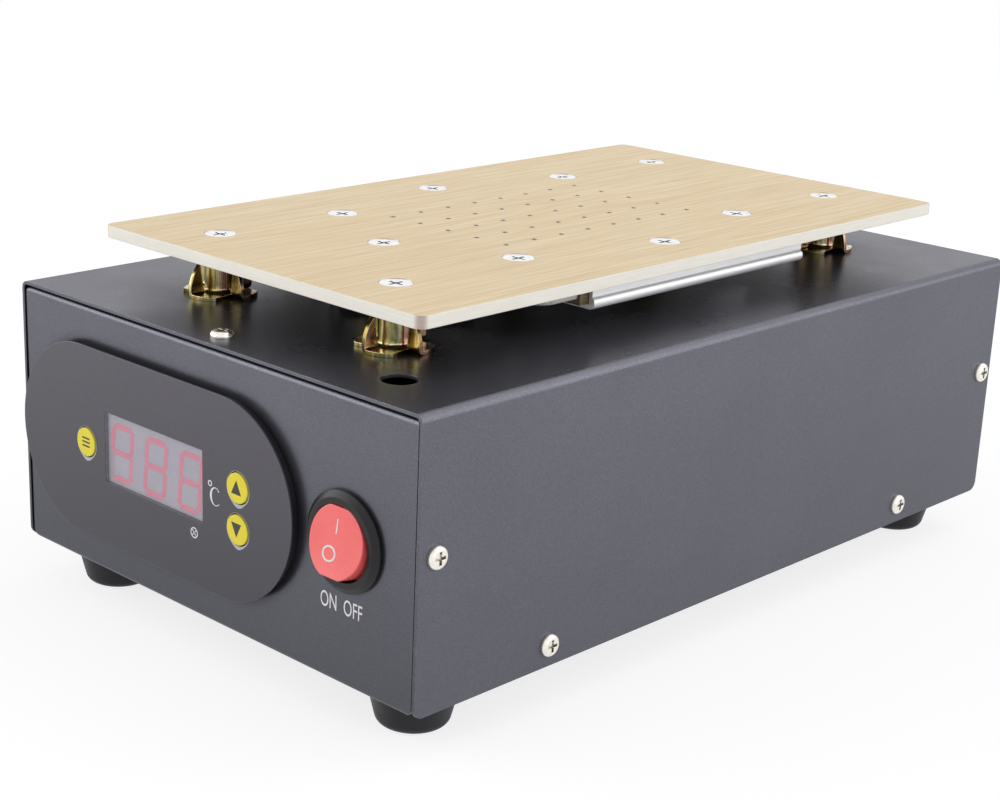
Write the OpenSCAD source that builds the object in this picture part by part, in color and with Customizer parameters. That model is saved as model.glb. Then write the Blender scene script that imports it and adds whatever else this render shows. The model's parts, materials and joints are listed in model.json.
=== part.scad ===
// Vacuum heating plate: a bench unit that warms a flat work piece and holds it down by suction.
// A folded steel case on four rubber feet carries a drilled aluminium plate on four tee nuts.
// Origin: centre of the footprint on the bench. +X is the right side, +Y the rear, +Z up.

/* [Case] */
// Width across the cover's outer faces
case_w = 143; // [136:1:165]
// Length of the cover from front to rear
case_l = 226; // [220:1:250]
// Height of the case without its feet
case_h = 68; // [64:1:85]
// Thickness of the folded steel sheet
sheet_t = 0.8; // [0.8:0.1:1.6]
// Inner radius of the cover's two long bends
cover_fold_r = 1.2; // [0.6:0.1:2]
// Inner radius of the tray's folded edges
tray_fold_r = 0.6; // [0.5:0.1:1.4]
// Radius of the lower corners of the panels and of the cover's sides
case_corner_r = 2.6; // [2.3:0.1:5]
// Gap between the tray and the cover round it
cover_gap = 0.5; // [0.2:0.05:0.6]
// How far the front and rear panels stand back from the cover's edges
panel_inset = 0.3; // [0:0.1:0.8]
// Depth of the flanges turned in from the front and rear panels
flange_w = 12; // [9:0.5:14]
// Height of the flanges turned up along the tray's floor
floor_flange_h = 9; // [7.5:0.5:12]

/* [Case screws] */
// Shank diameter of the case screws
case_screw_d = 3; // [2.5:0.1:3.2]
// Head diameter of the case screws
case_head_d = 5.5; // [5:0.1:6.4]
// Head height of the case screws
case_head_h = 1.4; // [1.2:0.1:2.4]
// Shank length of the case screws
case_screw_l = 6; // [4:0.5:8]
// Distance from the case's ends to the upper side screws
side_screw_end = 5.1; // [3.8:0.1:6]
// Height of the upper side screws above the case's lower edge
side_screw_up = 36.2; // [20:0.1:50]
// Distance from the case's ends to the lower side screws
low_screw_end = 42; // [30:0.5:60]
// Height of the lower side screws above the case's lower edge
side_screw_low = 5.4; // [3.6:0.1:5.6]
// Distance from the case's ends to the top screws
top_screw_end = 6; // [5:0.1:8]
// Radial play of a screw in the hole that it passes through
screw_play = 0.2; // [0.1:0.05:0.4]
// Radial play left for the thread of a tapped hole or a nut
thread_play = 0.1; // [0.05:0.01:0.15]
// Diameter of the open hole in the cover beside the front right tee nut
corner_hole_d = 8.4; // [6:0.1:10]
// Distance of that hole from the cover's right side
corner_hole_side = 21.5; // [12:0.5:24]
// Distance of that hole from the cover's front edge
corner_hole_front = 14; // [13:0.5:16]

/* [Feet] */
// Height of a rubber foot
foot_h = 11; // [9:0.5:18]
// Diameter of a foot at the case
foot_top_d = 22; // [20:0.5:25]
// Diameter of a foot at the bench, before its edge is rounded
foot_bottom_d = 16.5; // [16:0.5:20]
// Radius of a foot's lower edge
foot_edge_r = 2.5; // [1:0.1:2.6]
// Distance of the feet's middles from the case's sides
foot_side_in = 16.5; // [13.5:0.5:20]
// Distance of the feet's middles from the case's ends
foot_end_in = 16; // [13:0.5:20]
// Diameter of the pocket for the foot's screw head
foot_pocket_d = 9; // [8.4:0.1:9.6]
// Depth of the pocket for the foot's screw head
foot_pocket_h = 5; // [4:0.1:6]
// Head diameter of a foot screw
foot_head_d = 7.8; // [7:0.1:8]
// Head height of a foot screw
foot_head_h = 2.6; // [2:0.1:3]

/* [Heating plate] */
// Distance of the plate's long edges from the case's sides
plate_side_in = 15.5; // [12.5:0.5:17]
// Distance of the plate's short edges from the case's ends
plate_end_in = 14; // [12:0.5:18]
// Thickness of the plate
plate_t = 3; // [2.8:0.1:4]
// Radius of the plate's corners
plate_corner_r = 2.5; // [1:0.5:8]
// Height of the plate's underside above the cover
plate_gap = 12; // [11:0.5:16]
// Pitch of the suction holes
hole_pitch = 10; // [9:0.1:10.4]
// Diameter of a suction hole
hole_d = 1.8; // [1:0.1:2.5]
// Number of suction holes across
hole_cols = 5; // [3:2:5]
// Number of suction holes lengthways
hole_rows = 8; // [4:2:8]
// Shank diameter of the plate's countersunk screws
plate_screw_d = 4; // [3.5:0.1:4]
// Head diameter of the plate's countersunk screws
plate_head_d = 7.8; // [7.4:0.1:8.2]
// Depth of the heads below the plate's face
head_sink = 0.1; // [0:0.05:0.3]
// Gap between a countersunk head and its seat
head_gap = 0.1; // [0.05:0.01:0.2]
// Distance of the corner screws from the plate's long edges
corner_screw_in = 25; // [22:0.5:26]
// Distance of the corner screws from the plate's short edges
corner_screw_end = 16.5; // [14:0.5:20]
// Length of a short plate screw
plate_screw_l = 6.5; // [6:0.1:7]

/* [Tee nuts] */
// Diameter of a tee nut's flange
tee_flange_d = 18.2; // [17:0.1:21]
// Thickness of a tee nut's sheet
tee_sheet_t = 1; // [0.8:0.1:1.2]
// Outer diameter of a tee nut's barrel
tee_barrel_d = 7.8; // [7.4:0.1:8.2]
// Diameter of the threaded bore
tee_bore_d = 5.2; // [4.6:0.1:5.6]
// Angle of the notch that each prong leaves in the flange
tee_notch_a = 46; // [36:1:50]
// Radius at which the notches begin
tee_notch_r = 5.1; // [5:0.1:5.6]
// Inner radius of the bend at a prong's root
tee_bend_r = 0.6; // [0.4:0.1:1]
// Radius of the flare between barrel and flange
tee_flare_r = 1; // [0.6:0.1:1.2]
// Width across the flats of the nuts
nut_flats = 7; // [6.5:0.1:7.5]
// Height of the nuts
nut_h = 3.2; // [2.4:0.1:3.6]

/* [Vacuum chamber] */
// Length of the chamber
chamber_l = 95; // [93:0.5:97]
// Height of the chamber
chamber_h = 6; // [5.4:0.1:7]
// Width of the chamber's rim, which carries the gasket
chamber_rim = 8; // [7.5:0.1:9]
// Thickness of the chamber's floor
chamber_floor_t = 1.6; // [1.2:0.1:2]
// Thickness of the silicone gasket
gasket_t = 1; // [0.6:0.1:1.4]
// Distance of the chamber's screws from its long edges
chamber_screw_x_in = 4; // [3.6:0.1:4.4]
// Distance of the chamber's screws from its short edges
chamber_screw_y_in = 5; // [4.4:0.1:5.6]
// Lengthways place of the suction barb
barb_y = -10; // [-14:0.5:-6]
// Outer radius of the suction barb's stem
barb_r = 1.6; // [1.4:0.05:1.65]
// Outer radius of the suction barb's ridges
barb_ridge_r = 1.8; // [1.7:0.05:1.85]
// Bore radius of a barb
barb_bore_r = 1; // [0.8:0.1:1.2]

/* [Heaters] */
// Length of a heater shell
heater_l = 82; // [70:1:86]
// Height of a heater shell
heater_h = 5.5; // [4.6:0.1:6]
// Width of a heater shell with its flange
heater_w = 18.4; // [17.6:0.1:19]
// Distance of a heater shell from the plate's long edge
heater_edge_in = 2; // [1:0.1:4]
// Gap between a heater shell and the vacuum chamber
heater_gap = 0.6; // [0.4:0.1:1.2]
// Width of the flange that the heater's screw holds
heater_flange_w = 8.8; // [8.4:0.1:9.2]
// Thickness of that flange
heater_flange_t = 2.5; // [2:0.1:3]
// Wall of the heater shell round its core
heater_wall = 1.1; // [0.8:0.1:1.3]
// Height of the shell's rounded lower edge
heater_nose_h = 3; // [2.4:0.1:3.4]
// How far the shell's upper edge stands back from the rounded one
heater_step = 0.7; // [0.4:0.1:1]
// Play of the core in its shell
core_play = 0.15; // [0.1:0.05:0.25]
// How far the core stands out of the shell's front end
core_out = 3; // [1:0.5:5]
// Radius of a heater lead in its sleeve
lead_r = 0.9; // [0.7:0.05:1]
// Radius of the bends in the leads
lead_bend_r = 4; // [3.5:0.1:4.5]
// Distance between the two leads of a heater
lead_spacing = 3; // [2.6:0.1:3.2]
// Distance from the chamber to the middle of the leads' crossing run
lead_ahead = 6.5; // [5:0.5:8]
// Least distance from the core's end to the middle of that run
lead_run = 10; // [9.5:0.5:12]

/* [Grommets] */
// Radius of the cover's holes for the grommets
grommet_hole_r = 4.5; // [4:0.1:5]
// Outer radius of a grommet
grommet_r = 6; // [5.6:0.1:6.6]
// Bore radius of a grommet
grommet_bore_r = 3.2; // [3.15:0.05:3.4]
// Height of a grommet's lip on each side of the sheet
grommet_lip = 1.2; // [0.8:0.1:1.6]
// Play of a grommet's neck in its hole
grommet_play = 0.1; // [0.05:0.05:0.2]
// Distance of the lead grommets from the middle, across
lead_x = 20; // [16:0.5:22]

/* [Temperature probe] */
// Distance from the chamber to the probe's screw
probe_ahead = 9.5; // [8:0.5:11]
// Outer radius of the probe's ring
probe_ring_r = 4.5; // [4:0.1:5]
// Thickness of the probe's ring
probe_ring_t = 1.2; // [0.8:0.1:1.4]
// Radius of the probe's barrel
probe_barrel_r = 1.7; // [1.5:0.1:2]
// Length of the probe's barrel
probe_barrel_l = 7; // [5:0.5:8]

/* [Temperature controller] */
// Distance of the film from the case's left side
film_side_gap = 2.5; // [2:0.1:4]
// Distance of the film from the switch's bezel
film_switch_gap = 3.3; // [2:0.1:5]
// Height of the controller's middle above the case's lower edge
ctl_up = 33.5; // [30:0.1:36]
// Height of the film's stadium outline
film_h = 48.6; // [46:0.1:52]
// Thickness of the film
film_t = 0.5; // [0.3:0.05:0.8]
// Thickness of the bezel under the film
bezel_t = 2; // [1.5:0.1:2.6]
// How far the film overhangs the bezel
film_over = 0.9; // [0.3:0.1:1.5]
// Distance of the outer keys from the ends of the panel's opening
ctl_cut_end = 4; // [3:0.1:5]
// Height of the controller's opening in the front panel
ctl_cut_h = 34; // [30:0.5:36]
// Wall of the bezel's collar and of the controller case
ctl_wall = 1.5; // [1.2:0.1:1.8]
// Depth of the bezel's collar behind the panel's face
ctl_collar = 4; // [3:0.1:4.6]
// Distance of the controller case from the terminal block behind it
ctl_block_gap = 9.5; // [8:0.5:14]
// Distance from the panel's face back to the circuit board
ctl_board_y = 8.7; // [8:0.1:9.4]
// Thickness of the circuit boards
board_t = 1.6; // [1.2:0.1:2]
// Play between the controller's nested pieces
ctl_play = 0.2; // [0.1:0.05:0.3]
// Width of the display window
window_w = 37.6; // [34:0.1:38]
// Height of the display window
window_h = 17.9; // [16:0.1:19]
// Place of the display from the controller's middle, across
window_dx = 1.6; // [0:0.1:3]
// Height of the display above the controller's middle
window_rise = 0.7; // [0:0.1:1.5]
// Thickness of the display window
window_t = 0.8; // [0.6:0.1:1.1]
// Diameter of a key
key_d = 7.2; // [7:0.1:8.4]
// Gap round a key
key_gap = 0.3; // [0.2:0.05:0.4]
// How far a key stands out of the film
key_proud = 0.3; // [0.1:0.05:0.5]
// Travel of a key
key_travel = 0.6; // [0.4:0.05:0.8]
// Place of the set key from the controller's middle, across
set_dx = -24.7; // [-27:0.1:-24.2]
// Place of the two arrow keys from the controller's middle, across
arrow_dx = 33.2; // [30:0.1:34]
// Distance between the two arrow keys
arrow_pitch = 10; // [9.6:0.1:12]
// Drop of the arrow keys' middle below the controller's middle
arrow_drop = 0.9; // [0:0.1:2]

/* [Rocker switch] */
// Distance of the switch's middle from the case's right side
sw_side_in = 22.5; // [20:0.1:24]
// Height of the switch's middle above the case's lower edge
sw_up = 34.2; // [28:0.1:38]
// Diameter of the switch's bezel
sw_bezel_d = 23.2; // [23:0.1:24.6]
// Height of the bezel's lip
sw_bezel_h = 2; // [1.8:0.1:2.4]
// Outer radius of the switch body
sw_body_r = 10.5; // [10.4:0.1:11]
// Depth of the switch body behind the panel's face
sw_body_d = 16; // [14:0.5:20]
// Diameter of the rocker
rocker_d = 16.6; // [16.2:0.1:17.4]
// Swing radius of the rocker's ends
rocker_swing_r = 8.4; // [8:0.05:8.5]
// Gap between the rocker and the bezel
rocker_gap = 0.55; // [0.5:0.05:0.6]
// Depth of the rocker's pivot behind the bezel's lip
pivot_depth = 1.6; // [1.4:0.1:1.8]
// Height of the rocker's dished face over its pivot
rocker_face = 2.6; // [2:0.1:2.8]
// Radius of the dish in the rocker's face
rocker_dish_r = 60; // [40:1:90]
// Angle of the rocker at rest
rocker_tilt = 11; // [8:0.5:11]
// Radius of the rocker's pivot pins
pin_r = 1.2; // [1:0.05:1.3]
// Radial play of the pivot pins
pin_play = 0.05; // [0.02:0.01:0.08]
// Width of the flat blade terminals
blade_w = 6.3; // [4.8:0.1:6.3]
// Thickness of the flat blade terminals
blade_t = 0.8; // [0.6:0.1:1]
// Length of a blade behind its housing
blade_l = 8; // [6:0.5:10]

/* [Mains inlet] */
// Distance of the inlet's middle from the case's right side
inlet_side_in = 33.5; // [30:0.5:38]
// Height of the inlet's middle above the case's lower edge
inlet_up = 32; // [28:0.5:36]
// Width of the inlet's flange
inlet_w = 50; // [48:0.5:52]
// Height of the inlet's flange
inlet_h = 36; // [35:0.5:38]
// Thickness of the inlet's flange
inlet_t = 2.8; // [2.4:0.1:3.2]
// Width of the inlet's body
inlet_body_w = 28.4; // [28:0.1:30]
// Height of the inlet's body
inlet_body_h = 31; // [30.6:0.1:32]
// Depth of the inlet's body behind its flange
inlet_body_d = 22; // [21.5:0.5:25]
// Width of the socket's cavity
socket_w = 24.2; // [24:0.1:25]
// Height of the socket's cavity
socket_h = 16.2; // [16:0.1:16.6]
// Depth of the socket's cavity
socket_d = 15.5; // [15:0.1:17]
// Height of the socket's middle above the inlet's middle
socket_rise = 5.4; // [5:0.1:5.6]
// Cut of the socket's two upper corners
socket_bevel = 4; // [3:0.1:5]
// Depth of the pins' tips inside the socket's mouth
pin_depth = 4.6; // [4.4:0.1:5]
// Distance of the line pins from the middle
line_pin_x = 7; // [6.8:0.1:7.2]
// Height of the contact pins
contact_h = 4; // [3.6:0.1:4.4]
// Thickness of the contact pins
contact_t = 2; // [1.8:0.1:2.2]
// Rise of the earth pin over the socket's middle, and drop of the line pins below it
pin_offset = 2; // [1.8:0.1:2.4]
// Width of the fuse drawer
drawer_w = 23; // [22.6:0.1:23.6]
// Height of the fuse drawer
drawer_h = 8; // [7.6:0.1:8.2]
// Depth of the fuse drawer
drawer_d = 20; // [18:0.5:20.5]
// Drop of the fuse drawer below the inlet's middle
drawer_drop = 9.2; // [9:0.1:9.4]
// Gap round the fuse drawer
drawer_gap = 0.3; // [0.2:0.05:0.35]
// Radius of the glass fuse
fuse_r = 2.6; // [2.5:0.05:2.7]
// Length of the glass fuse
fuse_l = 20; // [18:0.5:20.5]
// Distance of the inlet's screws from its middle
inlet_screw_x = 20; // [19.5:0.1:20.5]

/* [Vacuum pump] */
// Gap between the pump's bracket and the cover's left side
pump_side_gap = 7.8; // [4:0.1:9]
// Radius of the pump's motor
motor_r = 15; // [13:0.5:16]
// Length of the pump's motor
motor_l = 48; // [40:1:55]
// Width and height of the pump's head
head_w = 34; // [32:0.5:36]
// Length of the pump's head
head_l = 30; // [28:0.5:34]
// Thickness of the pump's bracket
bracket_t = 1.5; // [1.2:0.1:2]
// Height of the pump's axis above the tray's floor
pump_axis = 20; // [19:0.5:22]
// Radius of the motor's shaft
shaft_r = 1.6; // [1:0.1:2]
// Outer radius of the hose
hose_r = 3; // [2.8:0.05:3.1]
// Bore radius of the hose
hose_bore_r = 1.9; // [1.86:0.02:2.1]
// Radius of the hose's bends
hose_bend_r = 9; // [8:0.5:9.5]
// Height of the hose's crossing run above the pump's head
hose_rise = 16; // [15:0.5:17]

/* [Power supply] */
// Gap between the power board and the cover's right side
supply_side_gap = 9.3; // [8:0.1:11]
// Gap between the power board and the pump's bracket
supply_pump_gap = 20.5; // [19:0.5:22]
// Gap between the power board and the inlet's blades
supply_rear_gap = 8.7; // [6:0.1:10]
// Gap between the power board and the terminal block
supply_front_gap = 36; // [33:0.5:38]
// Height of the board's standoffs
standoff_h = 6; // [5:0.5:8]
// Width across the flats of the standoffs
standoff_flats = 5.5; // [5:0.1:6]
// Distance of the standoffs from the board's edges
standoff_in = 4; // [3.5:0.1:5]
// Width of the terminal block
block_w = 52; // [50:1:54]
// Depth of the terminal block
block_d = 16; // [14:0.5:18]
// Height of the terminal block
block_h = 17; // [14:0.5:20]

/* [Hidden] */
$fn = 48;

// Overrun of a cut past the face that it opens
cut = 1 * sheet_t;

// Levels of the case and the plate
case_z = foot_h;
case_top = case_z + case_h;
floor_z = case_z + sheet_t;
cover_bend_r = cover_fold_r + sheet_t;
tray_bend_r = tray_fold_r + sheet_t;
plate_z = case_top + plate_gap;
plate_top = plate_z + plate_t;

// The tray, inside the cover
tray_w = case_w - 2 * (sheet_t + cover_gap);
tray_l = case_l - 2 * panel_inset;
tray_top = case_top - sheet_t - cover_gap;
front_y = -tray_l / 2;
rear_y = tray_l / 2;
side_in_x = case_w / 2 - sheet_t;
foot_x = case_w / 2 - foot_side_in;
foot_y = case_l / 2 - foot_end_in;
plate_w = case_w - 2 * plate_side_in;
plate_l = case_l - 2 * plate_end_in;

// Places of the plate's screws
corner_x = plate_w / 2 - corner_screw_in;
corner_y = plate_l / 2 - corner_screw_end;
heater_out_x = plate_w / 2 - heater_edge_in;
heater_in_x = heater_out_x - heater_w;
chamber_w = 2 * (heater_in_x - heater_gap);
chamber_screw_x = chamber_w / 2 - chamber_screw_x_in;
chamber_screw_y = chamber_l / 2 - chamber_screw_y_in;
heater_tube_x = heater_in_x + heater_flange_w;
heater_screw_share = 0.61;
heater_screw_x = heater_in_x + heater_screw_share * heater_flange_w;
probe_y = -chamber_l / 2 - probe_ahead;
corner_places = [for (sx = [-1, 1], sy = [-1, 1]) [sx * corner_x, sy * corner_y]];
chamber_places = [for (sx = [-1, 1], sy = [-1, 1]) [sx * chamber_screw_x, sy * chamber_screw_y]];
short_places = concat(chamber_places, [[-heater_screw_x, 0], [heater_screw_x, 0], [0, probe_y]]);
head_depth = (plate_head_d - plate_screw_d) / 2;

// Levels under the plate
chamber_top = plate_z - gasket_t;
chamber_bottom = chamber_top - chamber_h;
lead_z = plate_z - heater_wall - core_play - lead_r;

// Where the leads go down
core_y = -heater_l / 2 - core_out;
lead_y = min(core_y - lead_run, -chamber_l / 2 - lead_ahead);
core_x = (heater_tube_x + heater_out_x - heater_step) / 2;
probe_drop_y = probe_y - probe_ring_r - probe_barrel_r;
grommet_places = [[0, barb_y], [-lead_x, lead_y], [lead_x, lead_y], [0, probe_drop_y]];

// Places on the front panel
sw_x = case_w / 2 - sw_side_in;
sw_z = case_z + sw_up;
lip_y = front_y - sw_bezel_h;
pivot_y = lip_y + pivot_depth;
film_w = sw_x - sw_bezel_d / 2 - film_switch_gap + case_w / 2 - film_side_gap;
ctl_x = film_side_gap + (film_w - case_w) / 2;
ctl_z = case_z + ctl_up;
window_z = ctl_z + window_rise;
film_y = front_y - bezel_t - film_t;
key_hole_d = key_d + 2 * key_gap;
ctl_cut_w = arrow_dx - set_dx + key_hole_d + 2 * ctl_cut_end;
ctl_cut_x = ctl_x + (set_dx + arrow_dx) / 2;
ctl_case_d = lead_y - block_d / 2 - ctl_block_gap - front_y - sheet_t;
board_y = front_y + ctl_board_y;
key_places = [[ctl_x + set_dx, ctl_z],
              [ctl_x + arrow_dx, ctl_z - arrow_drop + arrow_pitch / 2],
              [ctl_x + arrow_dx, ctl_z - arrow_drop - arrow_pitch / 2]];

// Places on the rear panel
inlet_x = case_w / 2 - inlet_side_in;
inlet_z = case_z + inlet_up;
inlet_back = rear_y - inlet_body_d;
inlet_face = rear_y + inlet_t;
socket_z = inlet_z + socket_rise;
socket_floor = inlet_face - socket_d;
drawer_z = inlet_z - drawer_drop;

// Places inside
bracket_wing = 10;
pump_foot_x = motor_r + bracket_t + bracket_wing / 2;
pump_half_w = pump_foot_x + bracket_wing / 2;
pump_x = pump_side_gap + pump_half_w - side_in_x;
pump_z = floor_z + pump_axis;
pump_y = barb_y + head_l / 2;
head_top = pump_z + head_w / 2;
hose_z = head_top + hose_rise;
hose_seat = 0.3;
barb_l = chamber_bottom - hose_z - hose_bend_r - hose_seat;
supply_z = floor_z + standoff_h;
supply_left = pump_x + pump_half_w + supply_pump_gap;
supply_front = lead_y + block_d / 2 + supply_front_gap;
supply_w = side_in_x - supply_side_gap - supply_left;
supply_l = inlet_back - blade_l - supply_rear_gap - supply_front;
supply_x = supply_left + supply_w / 2;
supply_y = supply_front + supply_l / 2;

// Basic forms

// Carries an outline in X and Z along Y, centred
module along_y(l) {
  rotate([90, 0, 0]) linear_extrude(height = l, center = true) children();
}

// Carries an outline in Y and Z along X, centred
module along_x(l) {
  rotate([90, 0, 90]) linear_extrude(height = l, center = true) children();
}

// Draws its children on both sides of the case
module both_sides() {
  children();
  mirror([1, 0, 0]) children();
}

// A rectangle between two levels with its upper corners rounded
module arch(w, z0, z1, r) {
  translate([-w / 2, z0]) square([w, z1 - z0 - r]);
  translate([-w / 2 + r, z0]) square([w - 2 * r, z1 - z0]);
  for (s = [-1, 1]) translate([s * (w / 2 - r), z1 - r]) circle(r);
}

// A rectangle between two levels with its lower corners rounded
module basin(w, z0, z1, r) {
  translate([0, z0 + z1]) mirror([0, 1]) arch(w, z0, z1, r);
}

// A centred rectangle with all corners rounded
module rounded(w, h, r) {
  square([w, h - 2 * r], center = true);
  square([w - 2 * r, h], center = true);
  for (sx = [-1, 1], sy = [-1, 1]) translate([sx * (w / 2 - r), sy * (h / 2 - r)]) circle(r);
}

// A centred stadium
module stadium(w, h) {
  square([w - h, h], center = true);
  for (s = [-1, 1]) translate([s * (w - h) / 2, 0]) circle(d = h);
}

// A cylinder that runs forwards from a point on a face
module boss_y(x, y, z, r, l) {
  translate([x, y, z]) rotate([90, 0, 0]) cylinder(h = l, r = r);
}

// Round stock that follows a route of right-angled turns, with bends of one radius
function unit(v) = v / norm(v);
module route(points, r, bend) {
  last = len(points) - 1;
  for (i = [0 : last - 1]) {
    u = unit(points[i + 1] - points[i]);
    a = points[i] + (i > 0 ? bend : 0) * u;
    b = points[i + 1] - (i < last - 1 ? bend : 0) * u;
    turn = [0, acos(u[2]), atan2(u[1], u[0])];
    translate(a) rotate(turn) cylinder(h = norm(b - a), r = r);
  }
  if (last > 1) for (i = [1 : last - 1]) {
    u = unit(points[i] - points[i - 1]);
    v = unit(points[i + 1] - points[i]);
    c = points[i] + bend * (v - u);
    n = cross(-v, u);
    multmatrix([[-v[0], u[0], n[0], c[0]],
                [-v[1], u[1], n[1], c[1]],
                [-v[2], u[2], n[2], c[2]],
                [0, 0, 0, 1]])
      rotate_extrude(angle = 90) translate([bend, 0]) circle(r);
  }
}

// A cross recess in a screw head whose face is at the origin
recess_l_share = 0.56;
recess_w_share = 0.14;
module cross_recess(head_d, depth) {
  for (a = [0, 90]) rotate([0, 0, a])
    translate([-recess_l_share * head_d / 2, -recess_w_share * head_d / 2, -depth])
      cube([recess_l_share * head_d, recess_w_share * head_d, depth + cut]);
}

// A pan-head screw that stands on the origin, with its shank below
pan_edge_share = 0.75;
recess_depth_share = 0.6;
module pan_screw(d, head_d, head_h, l) {
  edge = pan_edge_share * head_h;
  difference() {
    union() {
      rotate_extrude() {
        square([head_d / 2, head_h - edge]);
        square([head_d / 2 - edge, head_h]);
        intersection() {
          translate([head_d / 2 - edge, head_h - edge]) circle(edge);
          square([head_d, head_h]);
        }
      }
      translate([0, 0, -l]) cylinder(h = l, d = d);
    }
    translate([0, 0, head_h]) cross_recess(head_d, recess_depth_share * head_h);
  }
}

// A countersunk screw whose face is at the origin
module flat_screw(d, head_d, l) {
  difference() {
    union() {
      translate([0, 0, -head_depth]) cylinder(h = head_depth, d1 = d, d2 = head_d);
      translate([0, 0, -l]) cylinder(h = l, d = d);
    }
    cross_recess(head_d, recess_depth_share * head_depth);
  }
}

// A hexagon nut that stands on the origin
module nut(d, flats, h) {
  difference() {
    cylinder(h = h, d = flats / cos(30), $fn = 6);
    translate([0, 0, -cut]) cylinder(h = h + 2 * cut, r = d / 2 + thread_play);
  }
}

// Case

// The tray's outer form, or the same form taken in by an equal distance all round
module tray_block(in) {
  w = tray_w - 2 * in;
  l = tray_l - 2 * in;
  intersection() {
    along_y(l) intersection() {
      basin(w, case_z + in, tray_top - in, case_corner_r - in);
      arch(w, case_z + in, tray_top - in, tray_bend_r - in);
    }
    along_x(w) intersection() {
      basin(l, case_z + in, tray_top - in, tray_bend_r - in);
      arch(l, case_z + in, tray_top - in, tray_bend_r - in);
    }
  }
}

// Places of the case's side screws on one side, in Y and Z
side_places = [for (s = [-1, 1]) [s * (case_l / 2 - side_screw_end), case_z + side_screw_up],
               for (s = [-1, 1]) [s * (case_l / 2 - low_screw_end), case_z + side_screw_low]];
top_places = [for (s = [-1, 1]) [0, s * (case_l / 2 - top_screw_end)]];
foot_places = [for (sx = [-1, 1], sy = [-1, 1]) [sx * foot_x, sy * foot_y]];

// Holes for the case screws through the sheets on both sides and on top
module case_screw_holes(r) {
  for (p = side_places)
    translate([0, p[0], p[1]]) rotate([0, 90, 0]) cylinder(h = case_w + 2 * cut, r = r, center = true);
  for (p = top_places)
    translate([p[0], p[1], tray_top - sheet_t - cut]) cylinder(h = plate_gap, r = r);
}

// Air slots through the tray's floor, under the pump
slot_w = 3;
slot_l = 26;
slot_pitch = 6;
slot_count = 5;
module floor_slots() {
  for (i = [0 : slot_count - 1])
    translate([pump_x, pump_y + motor_l + slot_w + slot_pitch * i, case_z - cut])
      linear_extrude(height = sheet_t + 2 * cut) stadium(slot_l, slot_w);
}

module base_tray() {
  color([0.25, 0.25, 0.27]) difference() {
    tray_block(0);
    tray_block(sheet_t);
    translate([-case_w / 2, -tray_l / 2 + flange_w, case_z + floor_flange_h])
      cube([case_w, tray_l - 2 * flange_w, case_h]);
    case_screw_holes(case_screw_d / 2 + thread_play);
    for (p = foot_places)
      translate([p[0], p[1], case_z - cut]) cylinder(h = sheet_t + 2 * cut, d = plate_screw_d + 2 * screw_play);
    for (p = pump_foot_places)
      translate([p[0], p[1], case_z - cut]) cylinder(h = sheet_t + 2 * cut, d = case_screw_d + 2 * thread_play);
    for (p = supply_places)
      translate([p[0], p[1], case_z - cut]) cylinder(h = sheet_t + 2 * cut, d = case_screw_d + 2 * screw_play);
    floor_slots();
    translate([ctl_cut_x, front_y, ctl_z]) along_y(2 * sheet_t + 2 * cut)
      rounded(ctl_cut_w, ctl_cut_h, ctl_wall);
    boss_y(sw_x, front_y + sheet_t + cut, sw_z, sw_body_r + screw_play, sheet_t + 2 * cut);
    translate([inlet_x, rear_y, inlet_z]) along_y(2 * sheet_t + 2 * cut)
      square([inlet_body_w + 2 * ctl_play, inlet_body_h + 2 * ctl_play], center = true);
    for (s = [-1, 1])
      boss_y(inlet_x + s * inlet_screw_x, rear_y + cut, inlet_z, case_screw_d / 2 + thread_play, sheet_t + 2 * cut);
  }
}

module cover() {
  color([0.28, 0.28, 0.3]) difference() {
    intersection() {
      along_y(case_l) difference() {
        arch(case_w, case_z, case_top, cover_bend_r);
        arch(case_w - 2 * sheet_t, case_z - cut, case_top - sheet_t, cover_bend_r - sheet_t);
      }
      along_x(case_w) basin(case_l, case_z, case_top + cut, case_corner_r);
    }
    case_screw_holes(case_screw_d / 2 + screw_play);
    for (p = corner_places)
      translate([p[0], p[1], case_top - sheet_t - cut])
        cylinder(h = sheet_t + 2 * cut, d = plate_screw_d + 2 * screw_play);
    for (p = grommet_places)
      translate([p[0], p[1], case_top - sheet_t - cut]) cylinder(h = sheet_t + 2 * cut, r = grommet_hole_r);
    translate([case_w / 2 - corner_hole_side, -case_l / 2 + corner_hole_front, case_top - sheet_t - cut])
      cylinder(h = sheet_t + 2 * cut, d = corner_hole_d);
  }
}

module side_screws() {
  color([0.85, 0.83, 0.78]) both_sides() for (p = side_places)
    translate([case_w / 2, p[0], p[1]]) rotate([0, 90, 0])
      pan_screw(case_screw_d, case_head_d, case_head_h, case_screw_l);
}

module top_screws() {
  color([0.85, 0.83, 0.78]) for (p = top_places)
    translate([p[0], p[1], case_top]) pan_screw(case_screw_d, case_head_d, case_head_h, case_screw_l);
}

// Feet

module foot(sx, sy) {
  slope = atan2((foot_top_d - foot_bottom_d) / 2, foot_h);
  edge_x = foot_bottom_d / 2 - foot_edge_r * (1 - sin(slope)) / cos(slope);
  tangent = [edge_x + foot_edge_r * cos(slope), foot_edge_r - foot_edge_r * sin(slope)];
  color([0.08, 0.08, 0.08]) translate([sx * foot_x, sy * foot_y, 0]) difference() {
    rotate_extrude() {
      polygon([[0, 0], [edge_x, 0], [edge_x, foot_edge_r], tangent, [foot_top_d / 2, foot_h], [0, foot_h]]);
      intersection() {
        translate([edge_x, foot_edge_r]) circle(foot_edge_r);
        square([foot_top_d, foot_h]);
      }
    }
    translate([0, 0, -cut]) cylinder(h = foot_pocket_h + cut, d = foot_pocket_d);
    translate([0, 0, -cut]) cylinder(h = foot_h + 2 * cut, d = plate_screw_d + 2 * screw_play);
  }
}

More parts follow.
